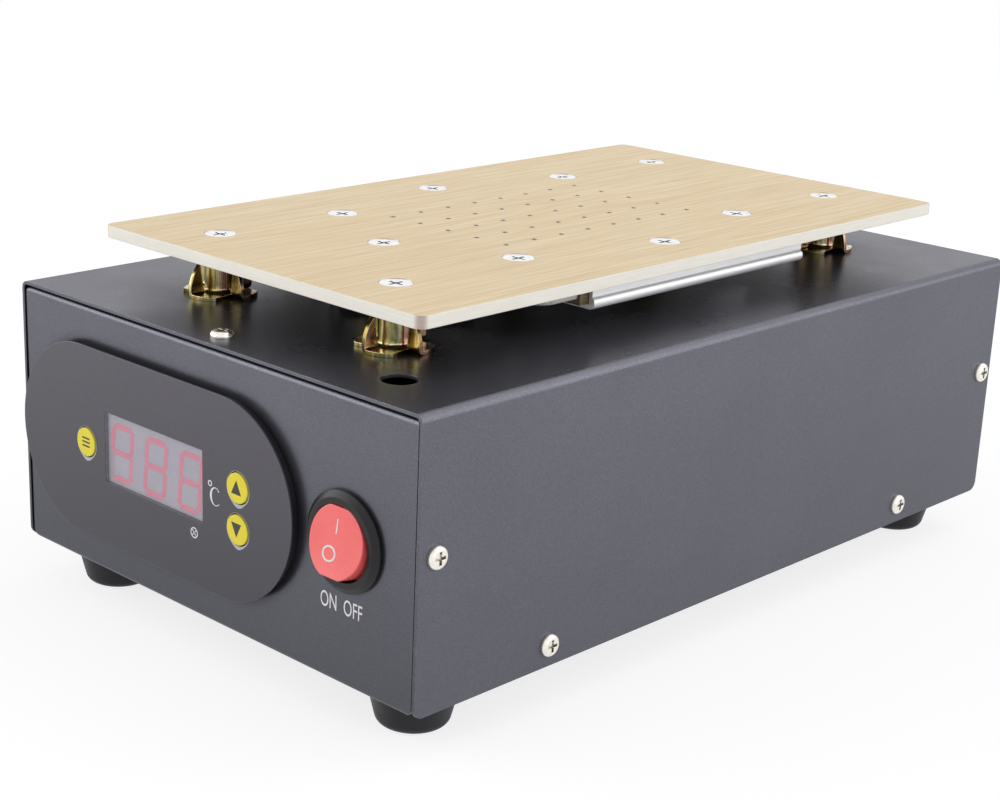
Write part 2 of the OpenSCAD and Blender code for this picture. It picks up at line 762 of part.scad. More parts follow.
module foot_screws() {
  color([0.75, 0.75, 0.75]) for (p = foot_places)
    translate([p[0], p[1], foot_pocket_h]) mirror([0, 0, 1])
      pan_screw(plate_screw_d, foot_head_d, foot_head_h, floor_z + 1.5 * nut_h - foot_pocket_h);
}

module foot_nuts() {
  color([0.75, 0.75, 0.75]) for (p = foot_places)
    translate([p[0], p[1], floor_z]) nut(plate_screw_d, nut_flats, nut_h);
}

// Tee nuts

// The notch, open outwards: from the root of its prong to the cut that ends at the tab's tip
module tee_notch() {
  root = [tee_notch_r, 0];
  tip = tee_flange_d / 2 * [cos(tee_notch_a), sin(tee_notch_a)];
  polygon([root, [tee_flange_d, 0], [tee_flange_d, tee_flange_d], root + 2 * (tip - root)]);
}

// The tab that the notch leaves, seen square on: its rim is an arc of the flange's own rim
module tee_tab() {
  intersection() {
    circle(d = tee_flange_d);
    tee_notch();
  }
}

// A prong: the tab folded up along the radius at the notch's end, with a round bend at its root
module tee_prong() {
  bend_z = tee_sheet_t + tee_bend_r;
  translate([0, 0, bend_z]) rotate([90, 0, 0]) linear_extrude(height = tee_sheet_t) tee_tab();
  intersection() {
    cylinder(h = bend_z, d = tee_flange_d);
    translate([tee_notch_r + tee_flange_d / 2, 0, 0]) along_x(tee_flange_d) intersection() {
      translate([-tee_sheet_t, 0]) square([bend_z, bend_z]);
      translate([tee_bend_r, bend_z]) difference() {
        circle(bend_z);
        circle(tee_bend_r);
      }
    }
  }
}

module tee_nut(sx, sy) {
  reach = tee_sheet_t + 2 * cut;
  color([0.78, 0.62, 0.22]) translate([sx * corner_x, sy * corner_y, case_top]) difference() {
    union() {
      difference() {
        cylinder(h = tee_sheet_t, d = tee_flange_d);
        for (a = [0 : 90 : 270]) rotate([0, 0, a]) translate([0, 0, -cut]) {
          linear_extrude(height = reach) mirror([0, 1]) tee_notch();
          translate([tee_notch_r, 0, 0]) cube([tee_flange_d, tee_bend_r, reach]);
        }
      }
      for (a = [0 : 90 : 270]) rotate([0, 0, a]) tee_prong();
      cylinder(h = plate_gap, d = tee_barrel_d);
      translate([0, 0, tee_sheet_t]) rotate_extrude() difference() {
        square([tee_barrel_d / 2 + tee_flare_r, tee_flare_r]);
        translate([tee_barrel_d / 2 + tee_flare_r, tee_flare_r]) circle(tee_flare_r);
      }
    }
    translate([0, 0, -cut]) cylinder(h = plate_gap + 2 * cut, d = tee_bore_d);
  }
}

// Heating plate and its screws

// The countersunk hole for a plate screw, cut from the plate's face
module countersink(d) {
  translate([0, 0, -head_depth - head_sink - head_gap])
    cylinder(h = head_depth, d1 = d, d2 = plate_head_d);
  translate([0, 0, -head_sink - head_gap]) cylinder(h = head_sink + head_gap + cut, d = plate_head_d + 2 * head_gap);
  translate([0, 0, -plate_t - cut]) cylinder(h = plate_t + 2 * cut, d = d + 2 * screw_play);
}

module heating_plate() {
  color([0.83, 0.71, 0.55]) difference() {
    translate([0, 0, plate_z]) linear_extrude(height = plate_t) rounded(plate_w, plate_l, plate_corner_r);
    for (i = [0 : hole_cols - 1], j = [0 : hole_rows - 1])
      translate([(i - (hole_cols - 1) / 2) * hole_pitch, (j - (hole_rows - 1) / 2) * hole_pitch, plate_z - cut])
        cylinder(h = plate_t + 2 * cut, d = hole_d);
    for (p = concat(corner_places, short_places))
      translate([p[0], p[1], plate_top]) countersink(plate_screw_d);
  }
}

module corner_screws() {
  color([0.85, 0.85, 0.87]) for (p = corner_places) translate([p[0], p[1], plate_top - head_sink])
    flat_screw(plate_screw_d, plate_head_d, plate_t + plate_gap + sheet_t + 1.4 * nut_h);
}

module plate_screws() {
  color([0.85, 0.85, 0.87]) for (p = short_places) translate([p[0], p[1], plate_top - head_sink])
    flat_screw(plate_screw_d, plate_head_d, plate_screw_l + (p == [0, probe_y] ? 0.5 * nut_h : 0));
}

module plate_nuts() {
  color([0.75, 0.75, 0.75]) {
    for (p = corner_places)
      translate([p[0], p[1], case_top - sheet_t - nut_h]) nut(plate_screw_d, nut_flats, nut_h);
    translate([0, probe_y, plate_z - probe_ring_t - nut_h]) nut(plate_screw_d, nut_flats, nut_h);
  }
}

// Vacuum chamber and its hose

chamber_corner_r_share = 0.5;

// Outline of the chamber's rim
module chamber_rim_outline() {
  difference() {
    rounded(chamber_w, chamber_l, chamber_corner_r_share * chamber_rim);
    rounded(chamber_w - 2 * chamber_rim, chamber_l - 2 * chamber_rim, chamber_corner_r_share * chamber_rim);
  }
}

module vacuum_chamber() {
  color([0.8, 0.8, 0.82]) translate([0, 0, chamber_bottom]) difference() {
    union() {
      linear_extrude(height = chamber_h) chamber_rim_outline();
      linear_extrude(height = chamber_floor_t)
        rounded(chamber_w, chamber_l, chamber_corner_r_share * chamber_rim);
    }
    for (p = chamber_places)
      translate([p[0], p[1], -cut]) cylinder(h = chamber_h + 2 * cut, d = plate_screw_d + 2 * thread_play);
    translate([0, barb_y, -cut]) cylinder(h = chamber_floor_t + 2 * cut, r = barb_r + thread_play);
  }
}

module chamber_gasket() {
  color([0.75, 0.3, 0.2]) translate([0, 0, chamber_top]) difference() {
    linear_extrude(height = gasket_t) chamber_rim_outline();
    for (p = chamber_places)
      translate([p[0], p[1], -cut]) cylinder(h = gasket_t + 2 * cut, d = plate_screw_d + 2 * screw_play);
  }
}

// A hose barb that points down from the origin, with three sharp ridges
ridge_share = 0.16;
module barb(l, stem_r, ridge_r) {
  difference() {
    union() {
      translate([0, 0, -l]) cylinder(h = l, r = stem_r);
      for (i = [0 : 2]) translate([0, 0, -l * (1 - i * ridge_share)])
        cylinder(h = l * ridge_share, r1 = stem_r, r2 = ridge_r);
    }
    translate([0, 0, -l - cut]) cylinder(h = l + 2 * cut, r = barb_bore_r);
  }
}

// Collar that stops the hose under the chamber
barb_collar_h = 1;
module suction_barb() {
  color([0.8, 0.65, 0.3]) translate([0, barb_y, chamber_bottom]) {
    barb(barb_l, barb_r, barb_ridge_r);
    difference() {
      union() {
        translate([0, 0, -barb_collar_h]) cylinder(h = barb_collar_h, r = hose_r);
        cylinder(h = chamber_floor_t, r = barb_r);
      }
      translate([0, 0, -barb_collar_h - cut])
        cylinder(h = chamber_floor_t + barb_collar_h + 2 * cut, r = barb_bore_r);
    }
  }
}

// The hose's route, and how far it reaches over the pump's barb
hose_grip = 6;
hose_points = [
  [0, barb_y, chamber_bottom - barb_collar_h - hose_seat],
  [0, barb_y, hose_z],
  [pump_x, barb_y, hose_z],
  [pump_x, barb_y, head_top + hose_seat]
];
module suction_hose() {
  over = [for (i = [0 : len(hose_points) - 1])
    hose_points[i] + (i == 0 ? [0, 0, cut] : (i == len(hose_points) - 1 ? [0, 0, -cut] : [0, 0, 0]))];
  color([0.85, 0.85, 0.8]) difference() {
    route(hose_points, hose_r, hose_bend_r);
    route(over, hose_bore_r, hose_bend_r);
  }
}

module grommets() {
  color([0.12, 0.12, 0.12]) for (p = grommet_places)
    translate([p[0], p[1], case_top - sheet_t - grommet_lip]) rotate_extrude() {
      translate([grommet_bore_r, 0]) square([grommet_r - grommet_bore_r, grommet_lip]);
      translate([grommet_bore_r, 0])
        square([grommet_hole_r - grommet_play - grommet_bore_r, sheet_t + 2 * grommet_lip]);
      translate([grommet_bore_r, grommet_lip + sheet_t]) square([grommet_r - grommet_bore_r, grommet_lip]);
    }
}

// Heaters

// Outline of a heater shell on the right side, in X and Z
module heater_outline() {
  nose_r = heater_nose_h / 2;
  translate([heater_in_x, plate_z - heater_flange_t]) square([heater_flange_w, heater_flange_t]);
  translate([heater_tube_x, plate_z - heater_h])
    square([heater_out_x - heater_tube_x - nose_r, heater_h]);
  translate([heater_tube_x, plate_z - heater_h + heater_nose_h])
    square([heater_out_x - heater_tube_x - heater_step, heater_h - heater_nose_h]);
  translate([heater_out_x - nose_r, plate_z - heater_h + nose_r]) circle(nose_r);
}

// Outline of the slot for the core, taken in by a gap
module core_outline(gap) {
  translate([heater_tube_x + heater_wall + gap, plate_z - heater_h + heater_wall + gap])
    square([heater_out_x - heater_step - heater_tube_x - 2 * heater_wall - 2 * gap,
            heater_h - 2 * heater_wall - 2 * gap]);
}

module heater_shell() {
  color([0.86, 0.86, 0.87]) difference() {
    along_y(heater_l) heater_outline();
    along_y(heater_l + 2 * cut) core_outline(0);
    translate([heater_screw_x, 0, plate_z - heater_h])
      cylinder(h = heater_h + cut, d = plate_screw_d + 2 * thread_play);
  }
}

module heater_core() {
  color([0.72, 0.45, 0.12]) translate([0, -core_out / 2, 0])
    along_y(heater_l + core_out) core_outline(core_play);
}

// Depth of the wire holes in the terminal block's top
wire_hole_d = 8;
module heater_leads() {
  color([0.9, 0.88, 0.86]) for (s = [-1, 1]) {
    y = lead_y - s * lead_spacing / 2;
    route([[core_x + s * lead_spacing / 2, core_y, lead_z],
           [core_x + s * lead_spacing / 2, y, lead_z],
           [lead_x, y, lead_z],
           [lead_x, y, floor_z + block_h - wire_hole_d + lead_r]], lead_r, lead_bend_r);
  }
}

// A ring under the plate whose barrel is bent down, and its lead to the controller
module temperature_probe() {
  ring_z = plate_z - probe_ring_t;
  case_back = front_y + sheet_t + ctl_case_d;
  lead_in_z = ctl_z + ctl_cut_h / 4;
  color([0.8, 0.62, 0.3]) {
    difference() {
      union() {
        translate([0, probe_y, ring_z]) cylinder(h = probe_ring_t, r = probe_ring_r);
        translate([-probe_barrel_r, probe_drop_y, ring_z])
          cube([2 * probe_barrel_r, probe_y - probe_drop_y, probe_ring_t]);
        translate([0, probe_drop_y, ring_z - probe_barrel_l])
          cylinder(h = probe_barrel_l + probe_ring_t, r = probe_barrel_r);
      }
      translate([0, probe_y, ring_z - cut])
        cylinder(h = probe_ring_t + 2 * cut, d = plate_screw_d + 2 * screw_play);
    }
    route([[0, probe_drop_y, ring_z - probe_barrel_l],
           [0, probe_drop_y, lead_in_z],
           [0, case_back, lead_in_z]], lead_r, lead_bend_r);
  }
}

// Temperature controller

module controller_bezel() {
  color([0.05, 0.05, 0.06]) difference() {
    union() {
      translate([ctl_x, front_y - bezel_t / 2, ctl_z]) along_y(bezel_t)
        stadium(film_w - 2 * film_over, film_h - 2 * film_over);
      translate([ctl_cut_x, front_y + ctl_collar / 2, ctl_z]) along_y(ctl_collar) difference() {
        rounded(ctl_cut_w - 2 * ctl_play, ctl_cut_h - 2 * ctl_play, ctl_wall);
        square([ctl_cut_w - 2 * ctl_wall - 2 * ctl_play, ctl_cut_h - 2 * ctl_wall - 2 * ctl_play], center = true);
      }
    }
    for (p = key_places) boss_y(p[0], front_y + cut, p[1], key_hole_d / 2, bezel_t + 2 * cut);
    translate([ctl_x + window_dx, front_y - bezel_t / 2, window_z]) along_y(bezel_t + 2 * cut)
      square([window_w, window_h], center = true);
  }
}

module overlay_film() {
  color([0.3, 0.3, 0.32]) difference() {
    translate([ctl_x, front_y - bezel_t - film_t / 2, ctl_z]) along_y(film_t) stadium(film_w, film_h);
    for (p = key_places) boss_y(p[0], film_y + film_t + cut, p[1], key_hole_d / 2, film_t + 2 * cut);
    translate([ctl_x + window_dx, film_y, window_z]) along_y(2 * film_t + 2 * cut)
      square([window_w, window_h], center = true);
  }
}

// How far the window's face lies below the film's
window_sink = 0.05;
window_play = 0.1;
module display_window() {
  color([0.7, 0.7, 0.76]) translate([ctl_x + window_dx, film_y + window_sink + window_t / 2, window_z])
    along_y(window_t) square([window_w - 2 * window_play, window_h - 2 * window_play], center = true);
}

// The display block, with a shallow pocket for each bar of its three slanted digits
digit_count = 3;
digit_w_share = 0.235;
digit_h_share = 0.832;
digit_step_share = 0.351;
digit_drop_share = 0.036;
digit_slant_share = 0.1;
bar_share = 0.039;
bar_gap_share = 0.15;
bar_depth = 0.2;
display_gap = 0.1;
module bar(x0, z0, w, h) {
  polygon([for (p = [[x0, z0], [x0 + w, z0], [x0 + w, z0 + h], [x0, z0 + h]])
    [p[0] + digit_slant_share * p[1], p[1]]]);
}

module digit_bars() {
  w = digit_w_share * window_w;
  h = digit_h_share * window_h;
  t = bar_share * window_w;
  g = bar_gap_share * t;
  for (z = [-1, 0, 1]) bar(-w / 2 + t + g, z * (h - t) / 2 - t / 2, w - 2 * t - 2 * g, t);
  for (sx = [-1, 1], sz = [-1, 1])
    bar(sx * (w - t) / 2 - t / 2, sz > 0 ? t / 2 : -h / 2 + t, t, h / 2 - 3 * t / 2);
}

module led_display() {
  face = film_y + window_sink + window_t + display_gap;
  color([0.62, 0.6, 0.66]) translate([ctl_x + window_dx, 0, window_z]) difference() {
    translate([0, (face + board_y) / 2, 0]) along_y(board_y - face)
      square([window_w - 2 * window_play, window_h - 2 * window_play], center = true);
    for (i = [0 : digit_count - 1])
      translate([(i - (digit_count - 1) / 2) * digit_step_share * window_w, face, -digit_drop_share * window_h])
        along_y(2 * bar_depth) digit_bars();
  }
}

// The case nests over the collar behind the panel, and the board rests on a ledge inside it
module controller_case() {
  back = front_y + sheet_t;
  out_w = ctl_cut_w + 2 * ctl_wall;
  out_h = ctl_cut_h + 2 * ctl_wall;
  ledge = board_y + board_t;
  color([0.1, 0.1, 0.11]) difference() {
    translate([ctl_cut_x, back + ctl_case_d / 2, ctl_z]) along_y(ctl_case_d) rounded(out_w, out_h, ctl_wall);
    translate([ctl_cut_x, (back - cut + ledge) / 2, ctl_z]) along_y(ledge - back + cut)
      square([ctl_cut_w + 2 * ctl_play, ctl_cut_h + 2 * ctl_play], center = true);
    translate([ctl_cut_x, back + ctl_case_d / 2 - ctl_wall, ctl_z]) along_y(ctl_case_d)
      square([ctl_cut_w - 2 * ctl_wall, ctl_cut_h - 2 * ctl_wall], center = true);
  }
}

module controller_board() {
  color([0.1, 0.35, 0.2]) translate([ctl_cut_x, board_y + board_t / 2, ctl_z]) along_y(board_t)
    square([ctl_cut_w, ctl_cut_h], center = true);
}

// Push switches on the board, one behind each key
push_w = 6;
push_h = 3.4;
push_stem_r = 1.7;
push_stem_h = 1.8;
push_gap = 0.15;
push_tip_y = board_y - push_h - push_stem_h;
module key_switches() {
  color([0.15, 0.15, 0.16]) for (p = key_places) {
    translate([p[0], board_y - push_h / 2, p[1]]) along_y(push_h) square(push_w, center = true);
    boss_y(p[0], board_y - push_h, p[1], push_stem_r, push_stem_h);
  }
}

// A key: a cap in the film, a flange behind the bezel and a stem to its push switch
key_flange_t = 0.8;
key_flange_over = 0.5;
module key(p) {
  front = film_y - key_proud;
  flange_y = front_y + key_gap;
  stem_end = push_tip_y - key_travel - push_gap;
  boss_y(p[0], flange_y, p[1], key_d / 2, flange_y - front);
  boss_y(p[0], flange_y + key_flange_t, p[1], key_hole_d / 2 + key_flange_over - key_gap, key_flange_t);
  boss_y(p[0], stem_end, p[1], push_stem_r, stem_end - flange_y);
}

module set_button() {
  color([0.95, 0.85, 0.1]) key(key_places[0]);
}

module up_button() {
  color([0.95, 0.85, 0.1]) key(key_places[1]);
}

module down_button() {
  color([0.95, 0.85, 0.1]) key(key_places[2]);
}

// Rocker switch

// Share of the bezel's height that is left at its rim
sw_rim_share = 0.45;
sw_lip_t = 1;
sw_back_t = 2;
pin_reach = 0.6;
blade_pitch = 7;

module switch_housing() {
  lip_r = rocker_d / 2 + rocker_gap;
  cavity_r = lip_r + rocker_gap - pin_play;
  rim = sw_rim_share * sw_bezel_h;
  color([0.06, 0.06, 0.07]) difference() {
    translate([sw_x, front_y, sw_z]) rotate([90, 0, 0]) union() {
      rotate_extrude() difference() {
        union() {
          polygon([[lip_r, 0], [sw_bezel_d / 2, 0], [sw_bezel_d / 2, rim],
                   [(sw_bezel_d / 2 + lip_r) / 2, sw_bezel_h], [lip_r, sw_bezel_h]]);
          translate([0, -sw_body_d]) square([sw_body_r, sw_body_d + cut]);
        }
        translate([0, -sw_body_d + sw_back_t]) square([cavity_r, sw_body_d - sw_back_t + sw_bezel_h - sw_lip_t]);
        square([lip_r, sw_bezel_h + cut]);
      }
    }
    translate([sw_x, pivot_y, sw_z]) rotate([0, 90, 0])
      cylinder(h = 2 * (cavity_r + pin_reach + 2 * thread_play), r = pin_r + pin_play, center = true);
    for (s = [-1, 1]) translate([sw_x, front_y + sw_body_d, sw_z + s * blade_pitch / 2])
      cube([blade_w + 2 * ctl_play, 2 * sw_back_t + 2 * cut, blade_t + 2 * ctl_play], center = true);
  }
}

rocker_back = 3;
module rocker() {
  cavity_r = rocker_d / 2 + 2 * rocker_gap - pin_play;
  color([0.86, 0.22, 0.2]) translate([sw_x, pivot_y, sw_z]) {
    rotate([-rocker_tilt, 0, 0]) intersection() {
      difference() {
        translate([0, -rocker_swing_r, 0]) rotate([-90, 0, 0])
          cylinder(h = rocker_swing_r + rocker_back, d = rocker_d);
        translate([0, -rocker_face - rocker_dish_r, 0]) rotate([0, 90, 0])
          cylinder(h = 2 * rocker_d, r = rocker_dish_r, center = true, $fn = 96);
      }
      rotate([0, 90, 0]) cylinder(h = 2 * rocker_d, r = rocker_swing_r, center = true);
    }
    rotate([0, 90, 0]) cylinder(h = 2 * (cavity_r + pin_reach), r = pin_r, center = true);
  }
}

module switch_terminals() {
  color([0.8, 0.8, 0.8]) for (s = [-1, 1])
    translate([sw_x - blade_w / 2, front_y + sw_body_d - 2 * sw_back_t, sw_z + s * blade_pitch / 2 - blade_t / 2])
      cube([blade_w, blade_l + 2 * sw_back_t, blade_t]);
}

// Mains inlet

// Outline of the socket's cavity, with its two upper corners cut
module socket_outline() {
  x = socket_w / 2;
  z = socket_h / 2;
  polygon([[-x, -z], [x, -z], [x, z - socket_bevel], [x - socket_bevel, z],
           [-x + socket_bevel, z], [-x, z - socket_bevel]]);
}

// Places of the contact pins from the socket's middle
contact_places = [[-line_pin_x, -pin_offset], [line_pin_x, -pin_offset], [0, pin_offset]];
inlet_corner_r = 3;

module inlet_housing() {
  color([0.08, 0.08, 0.09]) difference() {
    union() {
      translate([inlet_x, rear_y + inlet_t / 2, inlet_z]) along_y(inlet_t) rounded(inlet_w, inlet_h, inlet_corner_r);
      translate([inlet_x, rear_y - inlet_body_d / 2, inlet_z]) along_y(inlet_body_d)
        square([inlet_body_w, inlet_body_h], center = true);
    }
    translate([inlet_x, inlet_face - socket_d / 2 + cut / 2, socket_z]) along_y(socket_d + cut) socket_outline();
    for (p = contact_places) translate([inlet_x + p[0], inlet_back, socket_z + p[1]])
      cube([contact_t + 2 * ctl_play, 2 * inlet_body_d, contact_h + 2 * ctl_play], center = true);
    translate([inlet_x, inlet_face - drawer_d / 2 - drawer_gap / 2 + cut / 2, drawer_z])
      along_y(drawer_d + drawer_gap + cut)
        square([drawer_w + 2 * drawer_gap, drawer_h + 2 * drawer_gap], center = true);
    for (s = [-1, 1]) {
      boss_y(inlet_x + s * inlet_screw_x, inlet_face + cut, inlet_z,
             case_screw_d / 2 + screw_play, inlet_t + 2 * cut);
      translate([inlet_x + s * inlet_screw_x, inlet_face, inlet_z]) rotate([90, 0, 0])
        translate([0, 0, -cut]) cylinder(h = case_head_h + cut, d = case_head_d + 2 * screw_play);
    }
  }
}

module inlet_pins() {
  color([0.8, 0.8, 0.82]) for (p = contact_places)
    translate([inlet_x + p[0] - contact_t / 2, inlet_back - blade_l, socket_z + p[1] - contact_h / 2])
      cube([contact_t, inlet_face - pin_depth - inlet_back + blade_l, contact_h]);
}

module inlet_screws() {
  color([0.75, 0.75, 0.75]) for (s = [-1, 1])
    translate([inlet_x + s * inlet_screw_x, inlet_face - case_head_h, inlet_z]) rotate([-90, 0, 0])
      pan_screw(case_screw_d, case_head_d, case_head_h, case_screw_l);
}

// Thickness of the drawer's front and of its floor, and the lip that a finger pulls
drawer_front_t = 2;
drawer_floor_t = 1;
drawer_lip_w = 10;
drawer_lip_h = 2;
drawer_lip_t = 0.6;
drawer_floor_z = drawer_z - drawer_h / 2 + drawer_floor_t;
module fuse_drawer() {
  color([0.1, 0.1, 0.11]) difference() {
    union() {
      translate([inlet_x, inlet_face - drawer_d / 2, drawer_z]) along_y(drawer_d)
        square([drawer_w, drawer_h], center = true);
      translate([inlet_x, inlet_face + drawer_lip_t / 2, drawer_z]) along_y(drawer_lip_t)
        rounded(drawer_lip_w, drawer_lip_h, drawer_lip_t);
    }
    translate([inlet_x - fuse_l / 2 - ctl_play, inlet_face - drawer_d + drawer_floor_t, drawer_floor_z])
      cube([fuse_l + 2 * ctl_play, drawer_d - drawer_floor_t - drawer_front_t, drawer_h]);
  }
}

cap_share = 0.28;
module fuse() {
  color([0.85, 0.88, 0.88])
    translate([inlet_x, inlet_face - drawer_d / 2, drawer_floor_z + fuse_r + ctl_play]) rotate([0, 90, 0]) {
      cylinder(h = fuse_l * (1 - cap_share), r = fuse_r - ctl_play, center = true);
      for (s = [-1, 1]) translate([0, 0, s * fuse_l * (1 - cap_share / 2) / 2])
        cylinder(h = fuse_l * cap_share / 2, r = fuse_r, center = true);
    }
}

// Power supply

supply_places = [for (sx = [-1, 1], sy = [-1, 1])
  [supply_x + sx * (supply_w / 2 - standoff_in), supply_y + sy * (supply_l / 2 - standoff_in)]];

module power_board() {
  color([0.12, 0.38, 0.2]) difference() {
    translate([supply_x - supply_w / 2, supply_y - supply_l / 2, supply_z]) cube([supply_w, supply_l, board_t]);
    for (p = supply_places)
      translate([p[0], p[1], supply_z - cut]) cylinder(h = board_t + 2 * cut, d = case_screw_d + 2 * screw_play);
  }
}

module board_standoffs() {
  color([0.8, 0.65, 0.3]) for (p = supply_places)
    translate([p[0], p[1], floor_z]) nut(case_screw_d, standoff_flats, standoff_h);
}

module board_screws() {
  color([0.75, 0.75, 0.75]) for (p = supply_places) {
    translate([p[0], p[1], supply_z + board_t])
      pan_screw(case_screw_d, case_head_d, case_head_h, board_t + standoff_h / 2 - thread_play);
    translate([p[0], p[1], case_z]) mirror([0, 0, 1])
      pan_screw(case_screw_d, case_head_d, case_head_h, sheet_t + standoff_h / 2 - thread_play);
  }
}

// The transformer: a closed core round a taped winding
core_d = 13;
core_h = 26;
core_w_share = 0.56;
core_leg_share = 0.21;
core_gap_share = 0.09;
winding_over = 4;
transformer_y_share = 0.08;
module transformer() {
  core_w = core_w_share * supply_w;
  core_leg = core_leg_share * core_w;
  core_x = supply_x - supply_w / 2 + fin_edge + fin_w + core_gap_share * supply_w + core_w / 2;
  color([0.25, 0.24, 0.22]) translate([core_x, supply_y - transformer_y_share * supply_l, supply_z + board_t]) {
    translate([0, 0, core_h / 2]) along_y(core_d) difference() {
      square([core_w, core_h], center = true);
      square([core_w - 2 * core_leg, core_h - 2 * core_leg], center = true);
    }
    translate([0, 0, core_leg]) linear_extrude(height = core_h - 2 * core_leg)
      rounded(core_w - 2 * core_leg, core_d + 2 * winding_over, winding_over);
  }
}

// Capacitors, a heat sink and a choke
cap_r = 7;
cap_h = 26;
small_cap_r = 5;
small_cap_h = 18;
small_cap_gap = 1.8;
fin_h = 24;
fin_t = 1.5;
fin_w = 4.5;
fin_edge = 2;
fin_count = 5;
choke_r = 7;
choke_wire_r = 3;
cap_y_share = -0.34;
small_cap_y_share = 0.2;
fin_y_share = -0.12;
fin_l_share = 0.4;
choke_y_share = 0.32;
part_x_share = 0.24;
module board_parts() {
  fin_l = fin_l_share * supply_l;
  color([0.2, 0.25, 0.4]) translate([supply_x, supply_y, supply_z + board_t]) {
    translate([part_x_share * supply_w, cap_y_share * supply_l, 0]) cylinder(h = cap_h, r = cap_r);
    for (y = [0, 2 * small_cap_r + small_cap_gap])
      translate([part_x_share * supply_w, small_cap_y_share * supply_l + y, 0])
        cylinder(h = small_cap_h, r = small_cap_r);
    translate([-supply_w / 2 + fin_edge, fin_y_share * supply_l - fin_l / 2, 0]) {
      cube([fin_t, fin_l, fin_h]);
      for (i = [0 : fin_count - 1])
        translate([0, i * (fin_l - fin_t) / (fin_count - 1), 0]) cube([fin_w, fin_t, fin_h]);
    }
    translate([-part_x_share * supply_w / 2, choke_y_share * supply_l, choke_wire_r])
      rotate_extrude() translate([choke_r, 0]) circle(choke_wire_r);
  }
}

// Vacuum pump

bracket_l = 40;
bracket_gap = 0.1;
strap_w = 12;
strap_y_shares = [0.25, 0.75];
pump_foot_places = [for (s = [-1, 1], share = strap_y_shares) [pump_x + s * pump_foot_x, pump_y + share * motor_l]];

// A ribbed can with a shaft boss at each end
motor_boss_r = 5;
motor_boss_h = 2.5;
module pump_motor() {
  color([0.7, 0.7, 0.72]) translate([pump_x, pump_y, pump_z]) rotate([-90, 0, 0]) {
    cylinder(h = motor_l, r = motor_r);
    translate([0, 0, motor_l]) cylinder(h = motor_boss_h, r = motor_boss_r);
    translate([0, 0, motor_l + motor_boss_h]) cylinder(h = motor_boss_h, r = shaft_r);
  }
}

// The head: a block with a valve cover, an inlet on top and an outlet in front
head_corner_r = 4;
valve_r = 12;
valve_h = 4;
outlet_drop = 6;
module pump_head() {
  color([0.2, 0.2, 0.22]) {
    difference() {
      translate([pump_x, pump_y - head_l / 2, pump_z]) along_y(head_l) rounded(head_w, head_w, head_corner_r);
      translate([pump_x, barb_y, head_top - hose_grip]) cylinder(h = hose_grip + cut, r = barb_bore_r);
    }
    boss_y(pump_x, pump_y - head_l, pump_z, valve_r, valve_h);
    translate([pump_x, barb_y, head_top]) mirror([0, 0, 1]) barb(hose_grip, barb_r, barb_ridge_r);
    translate([pump_x, pump_y - head_l - valve_h, pump_z - outlet_drop]) rotate([-90, 0, 0])
      barb(hose_grip, barb_r, barb_ridge_r);
  }
}

// Two straps over the motor, folded down to feet on the tray's floor
module pump_bracket() {
  strap_r = motor_r + bracket_gap;
  color([0.75, 0.75, 0.77]) for (share = strap_y_shares) difference() {
    translate([pump_x, pump_y + share * motor_l, 0]) along_y(strap_w) difference() {
      union() {
        translate([0, pump_z]) circle(strap_r + bracket_t);
        translate([-strap_r - bracket_t, floor_z]) square([2 * (strap_r + bracket_t), pump_axis]);
        translate([-pump_foot_x - bracket_wing / 2, floor_z]) square([2 * pump_foot_x + bracket_wing, bracket_t]);
      }
      translate([0, pump_z]) circle(strap_r);
      translate([-strap_r, floor_z - cut]) square([2 * strap_r, pump_axis + cut]);
    }
    for (s = [-1, 1]) translate([pump_x + s * pump_foot_x, pump_y + share * motor_l, floor_z - cut])
      cylinder(h = bracket_t + 2 * cut, d = case_screw_d + 2 * screw_play);
  }
}

module pump_screws() {
  color([0.75, 0.75, 0.75]) for (p = pump_foot_places)
    translate([p[0], p[1], floor_z + bracket_t])
      pan_screw(case_screw_d, case_head_d, case_head_h, bracket_t + 2 * sheet_t);
}

// A ceramic block with a wire hole and a screw well over each pole
pole_r = 2;
pole_d = 5;
module terminal_block() {
  wire_places = [for (sx = [-1, 1], s = [-1, 1]) [sx * lead_x, s * lead_spacing / 2]];
  color([0.92, 0.9, 0.85]) translate([0, lead_y, floor_z]) difference() {
    linear_extrude(height = block_h) rounded(block_w, block_d, pole_r);
    for (p = wire_places)
      translate([p[0], p[1], block_h - wire_hole_d]) cylinder(h = wire_hole_d + cut, r = lead_r + thread_play);
    for (s = [-1, 1], t = [-1, 1])
      translate([s * lead_x / 2, t * block_d / 4, block_h - pole_d]) cylinder(h = pole_d + cut, r = pole_r);
  }
}

base_tray();
cover();
side_screws();
top_screws();
foot(-1, -1);  // foot_front_left
foot(1, -1);  // foot_front_right
foot(-1, 1);  // foot_rear_left
foot(1, 1);  // foot_rear_right
foot_screws();
foot_nuts();
tee_nut(-1, -1);  // tee_nut_front_left
tee_nut(1, -1);  // tee_nut_front_right
tee_nut(-1, 1);  // tee_nut_rear_left
tee_nut(1, 1);  // tee_nut_rear_right
heating_plate();
corner_screws();
plate_screws();
plate_nuts();
vacuum_chamber();
chamber_gasket();
suction_barb();
suction_hose();
grommets();
mirror([1, 0, 0]) heater_shell();  // heater_shell_left
heater_shell();  // heater_shell_right
mirror([1, 0, 0]) heater_core();  // heater_core_left
heater_core();  // heater_core_right
mirror([1, 0, 0]) heater_leads();  // heater_leads_left
heater_leads();  // heater_leads_right
temperature_probe();
controller_bezel();
overlay_film();
display_window();
led_display();
controller_case();
controller_board();
key_switches();
set_button();
up_button();
down_button();
switch_housing();
rocker();
switch_terminals();
inlet_housing();
inlet_pins();
inlet_screws();
fuse_drawer();
fuse();
power_board();
transformer();
board_parts();
board_standoffs();
board_screws();
pump_motor();
pump_head();
pump_bracket();
pump_screws();
